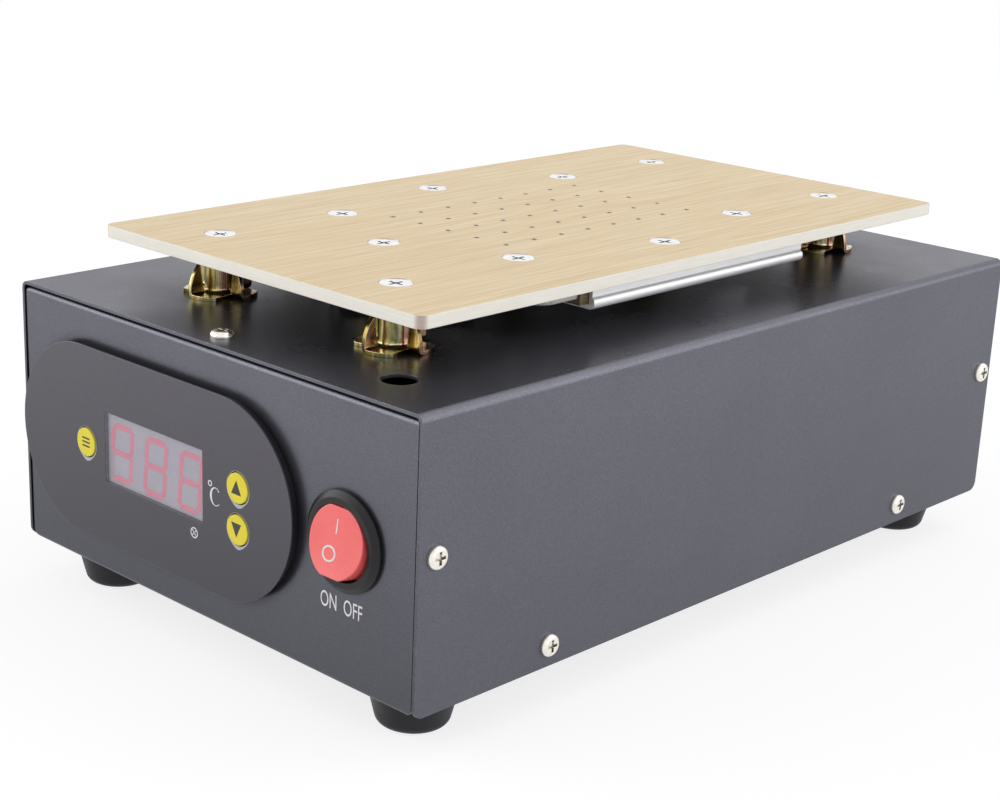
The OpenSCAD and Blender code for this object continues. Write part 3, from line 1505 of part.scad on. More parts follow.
terminal_block();
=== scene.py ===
import json
import math

import bmesh
import bpy
from mathutils import Matrix, Vector


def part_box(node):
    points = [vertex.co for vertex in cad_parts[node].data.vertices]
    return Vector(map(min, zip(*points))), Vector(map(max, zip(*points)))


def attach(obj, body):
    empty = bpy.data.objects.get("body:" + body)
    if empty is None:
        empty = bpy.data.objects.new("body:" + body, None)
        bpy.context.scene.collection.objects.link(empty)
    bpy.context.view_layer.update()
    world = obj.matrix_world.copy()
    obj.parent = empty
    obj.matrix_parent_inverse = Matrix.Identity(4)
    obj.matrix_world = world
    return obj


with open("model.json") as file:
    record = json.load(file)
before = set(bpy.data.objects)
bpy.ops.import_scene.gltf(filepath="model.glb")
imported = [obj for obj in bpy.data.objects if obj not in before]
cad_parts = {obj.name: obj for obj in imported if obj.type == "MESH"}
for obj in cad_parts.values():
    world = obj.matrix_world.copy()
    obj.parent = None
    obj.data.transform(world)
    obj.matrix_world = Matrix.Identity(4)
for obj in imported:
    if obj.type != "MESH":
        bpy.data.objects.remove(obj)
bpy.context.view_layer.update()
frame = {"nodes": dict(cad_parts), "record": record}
NODES = frame["nodes"]
RECORD = frame["record"]
SCENE = bpy.context.scene
MM = 0.001
MADE = {}  # each finished material by its name, which is its slot's in the record


# Node helpers

class Nodes:
    """Short calls for the nodes of one tree. A socket takes a number, a tuple or another node's output."""

    def __init__(self, tree):
        self.nt = tree
        self.nt.nodes.clear()

    def add(self, kind, props=None, sockets=None):
        n = self.nt.nodes.new(kind)
        for k, v in (props or {}).items():
            setattr(n, k, v)
        for k, v in (sockets or {}).items():
            self.put(n.inputs[k], v)
        return n

    def put(self, socket, v):
        if isinstance(v, bpy.types.NodeSocket):
            self.nt.links.new(v, socket)
        elif isinstance(v, (tuple, list)) and len(v) == 3 and socket.type == "RGBA":
            socket.default_value = (*v, 1.0)
        else:
            socket.default_value = v

    def calc(self, op, a, b=0.0):
        n = self.add("ShaderNodeMath", {"operation": op})
        self.put(n.inputs[0], a)
        self.put(n.inputs[1], b)
        return n.outputs[0]

    def span(self, v, a, b, c, d):
        """Carries v from the range a to b over to the range c to d, and no further."""
        n = self.add("ShaderNodeMapRange", {"clamp": True},
                     {"Value": v, "From Min": a, "From Max": b, "To Min": c, "To Max": d})
        return n.outputs[0]

    def seen(self):
        """1 for the rays that see the background, and 0 for those that light the object."""
        path = self.add("ShaderNodeLightPath").outputs
        return self.calc("MAXIMUM", path["Is Camera Ray"],
                         self.calc("MAXIMUM", path["Is Glossy Ray"], path["Is Transmission Ray"]))


class Tree(Nodes):
    """A material's nodes, with its object coordinates and its normal at hand."""

    def __init__(self, name):
        self.name = name
        self.mat = bpy.data.materials.new(name)
        self.mat.use_nodes = True
        super().__init__(self.mat.node_tree)
        coord = self.add("ShaderNodeTexCoord")
        self.obj = coord.outputs["Object"]
        self.nrm = coord.outputs["Normal"]

    def mapping(self, scale=(1, 1, 1), turn=(0, 0, 0), shift=(0, 0, 0)):
        n = self.add("ShaderNodeMapping", None,
                     {"Vector": self.obj, "Scale": scale, "Rotation": turn, "Location": shift})
        return n.outputs[0]

    def noise(self, scale, detail=3.0, rough=0.55, vec=None, warp=0.0):
        n = self.add("ShaderNodeTexNoise", None, {"Vector": vec or self.obj, "Scale": scale, "Detail": detail,
                                                  "Roughness": rough, "Distortion": warp})
        return n.outputs["Fac"]

    def cells(self, scale, rand=1.0):
        """Distance to the nearest of many scattered points."""
        n = self.add("ShaderNodeTexVoronoi", {"feature": "F1"},
                     {"Vector": self.obj, "Scale": scale, "Randomness": rand})
        return n.outputs["Distance"]

    def mix(self, fac, a, b):
        n = self.add("ShaderNodeMix", {"data_type": "RGBA", "blend_type": "MIX", "clamp_factor": True})
        self.put(n.inputs[0], fac)
        self.put(n.inputs[6], a)
        self.put(n.inputs[7], b)
        return n.outputs[2]

    def ramp(self, fac, stops):
        n = self.add("ShaderNodeValToRGB", None, {"Fac": fac})
        r = n.color_ramp
        r.interpolation = "LINEAR"
        while len(r.elements) < len(stops):
            r.elements.new(0.5)
        for e, (p, c) in zip(r.elements, stops):
            e.position = p
            e.color = (*c, 1.0)
        return n.outputs[0]

    def split(self, vec):
        return self.add("ShaderNodeSeparateXYZ", None, {"Vector": vec}).outputs

    def shade(self, reach, samples, only_local=False):
        """Ambient occlusion within a reach in mm: 1 in the open and 0 in a deep corner."""
        n = self.add("ShaderNodeAmbientOcclusion", {"samples": samples, "only_local": only_local},
                     {"Distance": reach * MM})
        return n.outputs["AO"]

    def bevel(self, radius, samples=6):
        return self.add("ShaderNodeBevel", {"samples": samples}, {"Radius": radius * MM}).outputs[0]

    def edge(self, bevel):
        """1 on sharp edges and 0 on flat faces, from how far the rounded normal leaves the true one."""
        geo = self.add("ShaderNodeNewGeometry")
        n = self.add("ShaderNodeVectorMath", {"operation": "DOT_PRODUCT"})
        self.put(n.inputs[0], bevel)
        self.put(n.inputs[1], geo.outputs["Normal"])
        return self.span(n.outputs["Value"], 0.985, 0.80, 0.0, 1.0)

    def bump(self, height, depth, normal=None):
        """A bump of a depth in mm, on top of another normal if there is one."""
        s = {"Height": height, "Distance": depth * MM, "Strength": 1.0}
        if normal is not None:
            s["Normal"] = normal
        return self.add("ShaderNodeBump", None, s).outputs[0]

    def done(self, color, rough, normal=None, metal=0.0, **sockets):
        """Ends the tree in a Principled shader. A further socket is named with _ for each space."""
        s = {"Base Color": color, "Roughness": rough, "Metallic": metal}
        if normal is not None:
            s["Normal"] = normal
        s.update({k.replace("_", " "): v for k, v in sockets.items()})
        p = self.add("ShaderNodeBsdfPrincipled", None, s)
        out = self.add("ShaderNodeOutputMaterial")
        self.nt.links.new(p.outputs[0], out.inputs[0])
        MADE[self.name] = self.mat
        return self.mat


def times(c, k):
    return tuple(min(1.0, x * k) for x in c)


def finish(name, base, rough, metal=0.0, vary=0.08, vary_scale=70, fine=0.05, fine_scale=1100, rough_vary=0.06,
           grain=0.02, grain_scale=1600, bevel=0.25, wear=0.0, wear_tone=(0.5, 0.5, 0.5), **sockets):
    """A general finish: cloudy and fine colour variation, uneven gloss, a grain in the surface and softened edges."""
    t = Tree(name)
    cloud = t.noise(vary_scale, 4.0)
    speck = t.noise(fine_scale, 2.0)
    col = t.mix(t.span(cloud, 0.3, 0.7, 0.0, 1.0), times(base, 1 - vary), times(base, 1 + vary))
    col = t.mix(t.span(speck, 0.3, 0.7, 0.0, 1.0), t.mix(fine, col, (0.0, 0.0, 0.0)), col)
    rounded = t.bevel(bevel)
    rgh = t.span(t.noise(vary_scale * 2.3, 3.0), 0.3, 0.7, rough - rough_vary, rough + rough_vary)
    if wear:
        worn = t.calc("MULTIPLY", t.edge(rounded), t.span(t.noise(420, 3.0), 0.42, 0.62, 0.15, 1.0))
        col = t.mix(t.calc("MULTIPLY", worn, wear), col, wear_tone)
    return t.done(col, rgh, t.bump(t.noise(grain_scale, 2.0), grain, normal=rounded), metal, **sockets)


# Finishes with their own structure

def paint():
    """Charcoal metallic powder coat: fine flakes, a leathery micro grain, specks of dust, rubbed bends, and painted
    shade low down and under the plate.
    """
    t = Tree("case_paint")
    base, flake_tone = (0.136, 0.137, 0.166), (0.27, 0.275, 0.30)
    dust_tone, rubbed_tone = (0.36, 0.37, 0.39), (0.46, 0.47, 0.50)
    col = t.mix(t.span(t.noise(26, 4.0), 0.3, 0.7, 0.0, 1.0), times(base, 0.95), times(base, 1.05))
    col = t.mix(t.span(t.noise(900, 2.0, 0.6), 0.3, 0.7, 0.0, 0.30), col, times(base, 0.72))
    col = t.mix(t.span(t.noise(2600, 2.0), 0.45, 0.75, 0.0, 0.34), col, flake_tone)
    dust = t.span(t.cells(330), 0.0, 0.045, 0.5, 0.0)
    dust = t.calc("MULTIPLY", dust, t.span(t.noise(45, 2.0), 0.56, 0.66, 0.0, 1.0))
    col = t.mix(dust, col, dust_tone)
    rounded = t.bevel(0.2)
    nick = t.calc("MULTIPLY", t.edge(rounded), t.span(t.noise(420, 4.0, 0.7), 0.55, 0.68, 0.0, 1.0))
    col = t.mix(t.calc("MULTIPLY", nick, 0.6), col, rubbed_tone)

    # Painted shade: the coat is painted darker towards the bottom edge, more so on the front and rear, and darker
    # still where the plate shades it
    side = t.calc("ABSOLUTE", t.split(t.nrm)[0])
    painted_low_shade = t.span(t.split(t.obj)[2], 10 * MM, 70 * MM, 0.48, 0.0)
    col = t.mix(t.calc("MULTIPLY", painted_low_shade, t.span(side, 0.0, 1.0, 1.0, 0.42)), col, (0.03, 0.03, 0.036))
    # Painted shade: near black where other parts or the floor lie within 15 mm, most of all under the plate
    col = t.mix(t.span(t.shade(15, 12), 0.15, 0.85, 0.80, 0.0), col, (0.010, 0.010, 0.012))

    rgh = t.span(t.noise(60, 3.0), 0.3, 0.7, 0.26, 0.32)
    grain = t.calc("ADD", t.calc("MULTIPLY", t.noise(1500, 2.0), 0.7), t.calc("MULTIPLY", t.noise(3600, 1.0), 0.3))
    nrm = t.bump(grain, 0.022, normal=rounded)
    nrm = t.bump(t.noise(30, 2.0), 0.08, normal=nrm)
    metal = t.calc("SUBTRACT", 0.7, t.calc("MULTIPLY", dust, 0.7))
    return t.done(col, rgh, nrm, metal, Specular_Tint=(0.76, 0.76, 0.78, 1.0))


def plate():
    """Champagne anodised sheet, finely brushed along Y, with pale bare cut edges, painted reflection on its rounded
    corners and painted shade on its underside.
    """
    t = Tree("plate_gold")
    long = t.noise(1.0, 3.0, 0.6, vec=t.mapping((1500, 22, 1500)))
    mid = t.noise(1.0, 1.0, 0.5, vec=t.mapping((2600, 34, 2600), shift=(3, 1, 0)))
    fine = t.noise(1.0, 1.0, 0.5, vec=t.mapping((4400, 60, 4400), shift=(7, 2, 0)))
    band = t.noise(1.0, 2.0, 0.5, vec=t.mapping((210, 4, 210), shift=(1, 5, 0)))
    cloud = t.noise(14, 3.0)
    finer = t.calc("ADD", t.calc("MULTIPLY", mid, 0.48), t.calc("MULTIPLY", fine, 0.38))
    streak = t.calc("ADD", t.calc("MULTIPLY", long, 0.14), finer)
    gold = t.ramp(t.span(streak, 0.38, 0.62, 0.0, 1.0),
                  [(0.0, (0.76, 0.565, 0.325)), (0.35, (0.84, 0.645, 0.380)),
                   (0.7, (0.89, 0.710, 0.445)), (1.0, (0.93, 0.79, 0.55))])
    gold = t.mix(t.span(band, 0.35, 0.70, 0.0, 0.08), gold, (0.93, 0.76, 0.50))
    gold = t.mix(t.span(cloud, 0.35, 0.65, 0.0, 0.14), gold, (0.88, 0.70, 0.44))

    # face is 1 on the two broad faces, and under is 1 on the lower one
    nx, ny, nz = t.split(t.nrm)
    face = t.span(t.calc("ABSOLUTE", nz), 0.80, 0.95, 0.0, 1.0)
    under = t.span(nz, -0.95, -0.80, 1.0, 0.0)
    # Painted shade: the underside is painted a cloudy dark brown
    stain = t.mix(t.span(cloud, 0.35, 0.65, 0.0, 1.0), (0.10, 0.072, 0.045), (0.20, 0.15, 0.10))
    gold = t.mix(under, gold, stain)

    saw = t.noise(1.0, 2.0, vec=t.mapping((90, 90, 2600)))
    edge = t.mix(t.span(saw, 0.3, 0.7, 0.0, 1.0), (0.93, 0.88, 0.78), (0.97, 0.95, 0.88))
    # Painted reflection: the rounded corners between the sheet's edges are painted a dull pinkish brown
    corner = t.calc("MULTIPLY", t.calc("ABSOLUTE", nx), t.calc("ABSOLUTE", ny))
    edge = t.mix(t.span(corner, 0.1, 0.45, 0.0, 0.9), edge, (0.60, 0.46, 0.40))

    rounded = t.bevel(0.2)
    col = t.mix(face, edge, gold)
    col = t.mix(t.calc("MULTIPLY", t.edge(rounded), 0.6), col, (0.94, 0.89, 0.79))
    rgh = t.calc("ADD", t.span(streak, 0.36, 0.64, 0.08, -0.04), t.span(face, 0.0, 1.0, 0.40, 0.39))
    rgh = t.calc("ADD", rgh, t.calc("MULTIPLY", under, 0.25))
    nrm = t.bump(t.calc("MULTIPLY", streak, face), 0.03, normal=rounded)
    nrm = t.bump(saw, 0.008, normal=nrm)
    metal = t.calc("SUBTRACT", t.span(face, 0.0, 1.0, 0.24, 0.14), t.calc("MULTIPLY", under, 0.1))
    return t.done(col, rgh, nrm, metal, Specular_IOR_Level=0.25)


def zinc_yellow():
    """Yellow-passivated zinc: gold with drifts of olive, copper pink and pale green, shifted by painted reflection
    that follows which way each face turns.
    """
    t = Tree("tee_zinc")
    x, y, z = t.split(t.nrm)
    # Painted reflection: the tints shift with which way a face turns in X and Y, and a little with how far it faces
    # up
    turn = t.calc("ADD", t.calc("MULTIPLY", x, 0.23), t.calc("MULTIPLY", y, 0.19))
    drift = t.noise(210, 4.0, 0.6, vec=t.mapping((1, 1, 0.22)), warp=0.8)
    v = t.calc("ADD", t.calc("ADD", drift, turn), t.calc("MULTIPLY", z, 0.08))
    col = t.ramp(t.span(v, 0.22, 0.80, 0.0, 1.0),
                 [(0.0, (0.10, 0.075, 0.02)), (0.18, (0.34, 0.26, 0.06)), (0.32, (0.80, 0.66, 0.30)),
                  (0.44, (0.36, 0.38, 0.12)), (0.56, (0.78, 0.76, 0.60)), (0.68, (0.44, 0.34, 0.12)),
                  (0.82, (0.72, 0.42, 0.32)), (1.0, (0.22, 0.15, 0.06))])
    rounded = t.bevel(0.25)
    col = t.mix(t.calc("MULTIPLY", t.edge(rounded), 0.75), col, (0.92, 0.72, 0.58))
    rgh = t.span(t.noise(500, 3.0), 0.3, 0.7, 0.14, 0.28)
    return t.done(col, rgh, t.bump(t.noise(700, 3.0), 0.02, normal=rounded), 1.0)


def bright_screw(name, base, rough, recess_shade=0.38):
    """Plated screw: a cloudy plating, painted shade that darkens its recess, and a fine tooth."""
    t = Tree(name)
    deep = t.span(t.shade(0.9, 8, only_local=True), 0.35, 0.85, 0.0, 1.0)
    stain = t.noise(900, 4.0, 0.6)
    col = t.mix(t.span(stain, 0.35, 0.65, 0.0, 0.5), base, times(base, 0.74))
    # Painted shade: the recess is darkened to a share of the base colour
    col = t.mix(deep, times(base, recess_shade), col)
    rgh = t.span(stain, 0.3, 0.7, rough - 0.06, rough + 0.10)
    return t.done(col, rgh, t.bump(t.noise(2200, 2.0), 0.012, normal=t.bevel(0.15)), 1.0)


def film():
    """Dark grey printed film, half gloss, with painted light that makes it paler towards its top, a fine matt tooth
    and a few specks of dust.
    """
    t = Tree("film_plastic")
    base = (0.040, 0.037, 0.053)
    col = t.mix(t.span(t.noise(35, 3.0), 0.3, 0.7, 0.0, 1.0), times(base, 0.96), times(base, 1.05))
    # Painted light and shade: paler towards the top and darker low down, as the light falls
    col = t.mix(t.span(t.split(t.obj)[2], 24 * MM, 68 * MM, 0.0, 0.42), col, (0.150, 0.142, 0.170))
    col = t.mix(t.span(t.noise(1000, 2.0), 0.35, 0.7, 0.0, 0.16), col, times(base, 0.6))
    dust = t.span(t.cells(240), 0.0, 0.05, 0.6, 0.0)
    dust = t.calc("MULTIPLY", dust, t.span(t.noise(60, 2.0), 0.55, 0.65, 0.0, 1.0))
    col = t.mix(dust, col, (0.42, 0.42, 0.44))
    rounded = t.bevel(0.22)
    col = t.mix(t.calc("MULTIPLY", t.edge(rounded), 0.55), col, (0.30, 0.30, 0.33))
    rgh = t.span(t.noise(90, 3.0), 0.3, 0.7, 0.30, 0.38)
    nrm = t.bump(t.noise(2400, 2.0), 0.010, normal=rounded)
    nrm = t.bump(t.noise(22, 2.0), 0.06, normal=nrm)
    return t.done(col, rgh, nrm)


def window():
    """Thin tinted window, mostly clear, with a soft haze and faint wiping marks."""
    t = Tree("display_glass")
    haze = t.noise(1.0, 3.0, vec=t.mapping((120, 120, 420), turn=(0, 0.5, 0)))
    col = t.mix(t.span(haze, 0.3, 0.7, 0.0, 1.0), (0.66, 0.64, 0.72), (0.76, 0.74, 0.82))
    rgh = t.span(haze, 0.3, 0.7, 0.16, 0.24)
    return t.done(col, rgh, t.bump(haze, 0.01, normal=t.bevel(0.2)), Alpha=t.span(haze, 0.3, 0.7, 0.12, 0.17))


def rubber(name, base, rough=0.62):
    """Moulded rubber with a matt bloom, a fine tooth and paler rubbed edges."""
    return finish(name, base, rough, vary=0.14, vary_scale=90, fine=0.10, fine_scale=1500, rough_vary=0.08,
                  grain=0.035, grain_scale=1300, bevel=0.5, wear=0.35, wear_tone=(0.075, 0.075, 0.085),
                  Specular_IOR_Level=0.3)


def brushed(name, base, rough, across, metal=1.0):
    """Extruded or brushed light metal with long streaks."""
    t = Tree(name)
    streak = t.noise(1.0, 3.0, 0.6, vec=t.mapping(across))
    stain = t.noise(55, 4.0)
    col = t.mix(t.span(streak, 0.3, 0.7, 0.0, 1.0), times(base, 0.86), times(base, 1.06))
    col = t.mix(t.span(stain, 0.45, 0.75, 0.0, 0.35), col, times(base, 0.72))
    rounded = t.bevel(0.2)
    col = t.mix(t.calc("MULTIPLY", t.edge(rounded), 0.4), col, times(base, 1.15))
    rgh = t.span(streak, 0.3, 0.7, rough - 0.07, rough + 0.09)
    return t.done(col, rgh, t.bump(streak, 0.025, normal=rounded), metal)


def sleeve():
    """Woven glass sleeve: a fine diagonal braid in off-white."""
    t = Tree("lead_sleeve")
    runs = [t.add("ShaderNodeTexWave", {"wave_type": "BANDS", "bands_direction": "DIAGONAL"},
                  {"Vector": vec, "Scale": 420, "Distortion": 0.6}).outputs["Fac"]
            for vec in (t.obj, t.mapping((-1, 1, 1)))]
    weave = t.calc("MAXIMUM", runs[0], runs[1])
    col = t.mix(weave, (0.60, 0.57, 0.52), (0.80, 0.78, 0.74))
    col = t.mix(t.span(t.noise(300, 3.0), 0.4, 0.7, 0.0, 0.3), col, (0.66, 0.56, 0.44))
    return t.done(col, 0.72, t.bump(weave, 0.08))


def core():
    """Dark olive insulating film with a laminated grain and glossy cut."""
    t = Tree("heater_core_resin")
    layers = t.noise(1.0, 3.0, vec=t.mapping((300, 60, 2400)))
    col = t.mix(t.span(layers, 0.3, 0.7, 0.0, 1.0), (0.075, 0.055, 0.016), (0.19, 0.135, 0.045))
    rgh = t.span(layers, 0.3, 0.7, 0.18, 0.32)
    return t.done(col, rgh, t.bump(layers, 0.02, normal=t.bevel(0.2)))


def rocker_red():
    """Coral red moulded plastic, slightly translucent, with a faint painted glow, painted shade in its gap and a fine
    polish.
    """
    t = Tree("rocker_red")
    cloud = t.noise(120, 3.0)
    col = t.mix(t.span(cloud, 0.3, 0.7, 0.0, 1.0), (0.94, 0.150, 0.148), (0.98, 0.175, 0.172))
    # Painted shade: dark red to near black in the gap where the bezel shades the rocker
    col = t.mix(t.span(t.shade(4, 6), 0.35, 0.92, 0.92, 0.0), col, (0.20, 0.016, 0.016))
    rgh = t.span(t.noise(200, 3.0), 0.3, 0.7, 0.24, 0.32)
    nrm = t.bump(t.noise(900, 2.0), 0.008, normal=t.bevel(0.5))
    # The faint red emission is a painted glow
    return t.done(col, rgh, nrm, Coat_Weight=0.12, Coat_Roughness=0.22,
                  Subsurface_Weight=0.08, Subsurface_Scale=1.0 * MM, Subsurface_Radius=(1.0, 0.3, 0.25),
                  Emission_Color=(1.0, 0.12, 0.12, 1.0), Emission_Strength=0.10)


def board():
    """Green solder mask over copper tracks, with tinned pads."""
    t = Tree("board_green")
    tracks = t.add("ShaderNodeTexBrick", {"offset": 0.37, "squash": 1.0},
                   {"Vector": t.obj, "Scale": 95, "Mortar Size": 0.035, "Mortar Smooth": 0.3, "Bias": 0.0})
    tracks = tracks.outputs["Fac"]
    col = t.mix(tracks, (0.022, 0.125, 0.055), (0.05, 0.235, 0.10))
    col = t.mix(t.span(t.noise(240, 3.0), 0.4, 0.7, 0.0, 0.3), col, (0.02, 0.09, 0.045))
    pads = t.span(t.cells(260, rand=0.75), 0.16, 0.20, 1.0, 0.0)
    pads = t.calc("MULTIPLY", pads, t.span(t.noise(50, 2.0), 0.5, 0.56, 0.0, 1.0))
    col = t.mix(pads, col, (0.66, 0.66, 0.68))
    nrm = t.bump(t.calc("MAXIMUM", tracks, pads), 0.03, normal=t.bevel(0.15))
    return t.done(col, t.span(pads, 0.0, 1.0, 0.30, 0.24), nrm, t.calc("MULTIPLY", pads, 0.9))


def laminations():
    """Varnished edges of the transformer's laminations."""
    t = Tree("transformer_iron")
    lam = t.noise(1.0, 1.0, vec=t.mapping((20, 2600, 20)))
    iron = t.mix(t.span(lam, 0.4, 0.6, 0.0, 1.0), (0.055, 0.052, 0.048), (0.14, 0.13, 0.12))
    return t.done(iron, t.span(lam, 0.3, 0.7, 0.35, 0.5), t.bump(lam, 0.04, normal=t.bevel(0.3)), 0.5)


# One material for each slot of the record

paint()
plate()
zinc_yellow()
bright_screw("screw_nickel", (0.94, 0.90, 0.82), 0.24, 0.42)
bright_screw("plate_screw_nickel", (0.93, 0.93, 0.95), 0.24, 0.74)
bright_screw("screw_zinc", (0.72, 0.74, 0.77), 0.28)
film()
window()
rubber("foot_rubber", (0.0125, 0.0125, 0.0175), 0.5)
rubber("grommet_rubber", (0.022, 0.022, 0.024))
rubber("gasket_silicone", (0.42, 0.09, 0.05))
brushed("heater_aluminium", (0.93, 0.93, 0.94), 0.40, (1500, 12, 1500), 0.55)
brushed("chamber_aluminium", (0.74, 0.75, 0.77), 0.34, (900, 30, 900))
brushed("blade_tin", (0.80, 0.80, 0.80), 0.28, (900, 60, 900))
brushed("motor_steel", (0.70, 0.71, 0.73), 0.32, (700, 20, 700))
sleeve()
core()
rocker_red()
board()
laminations()
finish("brass_fittings", (0.78, 0.58, 0.26), 0.26, 1.0, vary=0.10, vary_scale=160, bevel=0.2, grain=0.012)
finish("hose_silicone", (0.74, 0.72, 0.66), 0.36, vary=0.05, grain=0.01, bevel=0.2,
       Subsurface_Weight=0.35, Subsurface_Scale=2 * MM, Subsurface_Radius=(1.0, 0.9, 0.7))
finish("bezel_plastic", (0.022, 0.022, 0.025), 0.46, vary=0.1, grain=0.02, bevel=0.3,
       wear=0.3, wear_tone=(0.12, 0.12, 0.13))
finish("display_block", (0.50, 0.48, 0.56), 0.5, vary=0.04, vary_scale=200, grain=0.006, bevel=0.1)
finish("case_plastic", (0.032, 0.032, 0.035), 0.5, vary=0.1, grain=0.03, bevel=0.4)
finish("key_yellow", (0.95, 0.80, 0.035), 0.42, vary=0.03, vary_scale=300, fine=0.04, grain=0.012, bevel=0.45,
       Subsurface_Weight=0.1, Subsurface_Scale=1 * MM, Subsurface_Radius=(1.0, 0.8, 0.2))
finish("switch_plastic", (0.013, 0.0125, 0.015), 0.36, vary=0.1, grain=0.012, grain_scale=2200, bevel=0.35,
       wear=0.35, wear_tone=(0.13, 0.13, 0.14), Specular_IOR_Level=0.3)
finish("inlet_plastic", (0.024, 0.024, 0.026), 0.48, vary=0.1, grain=0.03, grain_scale=1900, bevel=0.4,
       wear=0.3, wear_tone=(0.12, 0.12, 0.12))
finish("fuse_glass", (0.84, 0.88, 0.88), 0.12, vary=0.03, grain=0.004, Transmission_Weight=0.6)
finish("board_part_blue", (0.045, 0.065, 0.17), 0.3, vary=0.12, vary_scale=220, bevel=0.3, grain=0.01)
finish("pump_plastic", (0.06, 0.06, 0.066), 0.5, vary=0.12, grain=0.04, grain_scale=1100, bevel=0.5)
finish("block_ceramic", (0.80, 0.77, 0.70), 0.24, vary=0.05, vary_scale=140, grain=0.03, grain_scale=500,
       bevel=0.5, Coat_Weight=0.5, Coat_Roughness=0.12)

for row in RECORD["subparts"]:
    for s in NODES[row["node"]].material_slots:
        s.material = MADE[row["material_slot"]]


# Mesh helpers: everything on the front is drawn in X and Z, in mm, and has its thickness along Y

PRINT_OUT, PRINT_IN = 0.02, 0.01  # how far a printed mark stands proud of its face and reaches into it


def carry(me, mat, body):
    """Makes the object of a mesh, with its material and the body that it rides on."""
    me.materials.clear()
    me.materials.append(mat)
    obj = bpy.data.objects.new(me.name, me)
    SCENE.collection.objects.link(obj)
    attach(obj, body)


def close(bm, name, mat, body="housing"):
    """Turns a bmesh into a piece."""
    bmesh.ops.recalc_face_normals(bm, faces=bm.faces)
    me = bpy.data.meshes.new(name)
    bm.to_mesh(me)
    bm.free()
    carry(me, mat, body)


def spot(bm, x, y, z):
    return bm.verts.new((x * MM, y * MM, z * MM))


def slab(bm, outline, y, out=PRINT_OUT):
    """A flat prism from an outline in X and Z, on a face at y."""
    front = [spot(bm, px, y - out, pz) for px, pz in outline]
    back = [spot(bm, px, y + PRINT_IN, pz) for px, pz in outline]
    bm.faces.new(front)
    bm.faces.new(list(reversed(back)))
    n = len(outline)
    for i in range(n):
        j = (i + 1) % n
        bm.faces.new((front[i], front[j], back[j], back[i]))


def strip(bm, sections, closed):
    """A bar through sections of four points, joined into a ring or capped at its two ends."""
    n = len(sections)
    for i in range(n if closed else n - 1):
        a, b = sections[i], sections[(i + 1) % n]
        for k in range(4):
            j = (k + 1) % 4
            bm.faces.new((a[k], a[j], b[j], b[k]))
    if not closed:
        bm.faces.new(sections[0])
        bm.faces.new(list(reversed(sections[-1])))


def section(bm, p, q, y):
    """Four points of a printed line whose two sides are at p and q, on a face at y."""
    return [spot(bm, v[0], y + d, v[1]) for v, d in ((p, -PRINT_OUT), (q, -PRINT_OUT), (q, PRINT_IN), (p, PRINT_IN))]


def on_circle(c, r, a):
    return c[0] + r * math.cos(a), c[1] + r * math.sin(a)


def around(n):
    return (2 * math.pi * i / n for i in range(n))


def ring(bm, c, r_out, r_in, y, n):
    strip(bm, [section(bm, on_circle(c, r_out, a), on_circle(c, r_in, a), y) for a in around(n)], True)


def words(name, body, x, z, height, y, mat, squeeze):
    """Flat lettering on the front, centred on x and z, turned into a mesh."""
    cap_share = 0.70  # height of a capital in the built-in font, by its size
    cu = bpy.data.curves.new(name, "FONT")
    cu.body = body
    cu.align_x = "CENTER"
    cu.align_y = "CENTER"
    cu.size = height / cap_share * MM
    cu.resolution_u = 6
    cu.extrude = PRINT_OUT * MM
    tmp = bpy.data.objects.new(name + "_curve", cu)
    SCENE.collection.objects.link(tmp)
    bpy.context.view_layer.update()
    me = bpy.data.meshes.new_from_object(tmp.evaluated_get(bpy.context.evaluated_depsgraph_get()))
    bpy.data.objects.remove(tmp)
    me.name = name
    me.transform(Matrix.Translation((x * MM, y * MM, z * MM)) @ Matrix.Rotation(math.radians(90), 4, "X")
                 @ Matrix.Diagonal((squeeze, 1, 1, 1)))
    carry(me, mat, "housing")


def low(node):
    return Vector(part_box(node)[0]) / MM


def high(node):
    return Vector(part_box(node)[1]) / MM


def middle(node):
    return (low(node) + high(node)) / 2


print_white = finish("print_white", (0.93, 0.93, 0.93), 0.5, vary=0.05, vary_scale=400, fine=0.12, fine_scale=2500,
                     bevel=0.02, grain=0.01)
print_grey = finish("print_grey", (0.55, 0.55, 0.58), 0.5, vary=0.05, vary_scale=400, fine=0.10, fine_scale=2500,
                    bevel=0.02, grain=0.01)
print_dark = finish("print_dark", (0.035, 0.030, 0.020), 0.45, vary=0.1, vary_scale=400, bevel=0.02, grain=0.01)
digit_red = finish("digit_red", (0.90, 0.20, 0.30), 0.4, vary=0.04, vary_scale=500, bevel=0.05, grain=0.004)
digit_off = finish("digit_off", (0.52, 0.38, 0.46), 0.45, vary=0.04, vary_scale=500, bevel=0.05, grain=0.004)


# The display's bars, which lie over the pockets of the three slanted digits

WINDOW_PLAY = 0.2
win_lo, win_hi, win = low("display_window"), high("display_window"), middle("display_window")
win_w, win_h = win_hi.x - win_lo.x + WINDOW_PLAY, win_hi.z - win_lo.z + WINDOW_PLAY
block_y = win_hi.y + WINDOW_PLAY / 2
digit_w, digit_h, bar_t = 0.235 * win_w, 0.832 * win_h, 0.039 * win_w
digit_step, digit_drop = 0.351 * win_w, 0.036 * win_h
BAR_GAP, BAR_OUT, SLANT = 0.12, 0.03, 0.1


def bar(bm, x, z, length, upright, cx):
    """A bar with pointed ends, centred on x and z of the digit at cx."""
    l, t = (length - BAR_GAP) / 2, bar_t / 2
    pts = [(-l, 0), (-l + t, -t), (l - t, -t), (l, 0), (l - t, t), (-l + t, t)]
    pts = [(x + v, z + u) if upright else (x + u, z + v) for u, v in pts]
    slab(bm, [(win.x + cx + px + SLANT * pz, win.z - digit_drop + pz) for px, pz in pts], block_y, BAR_OUT)


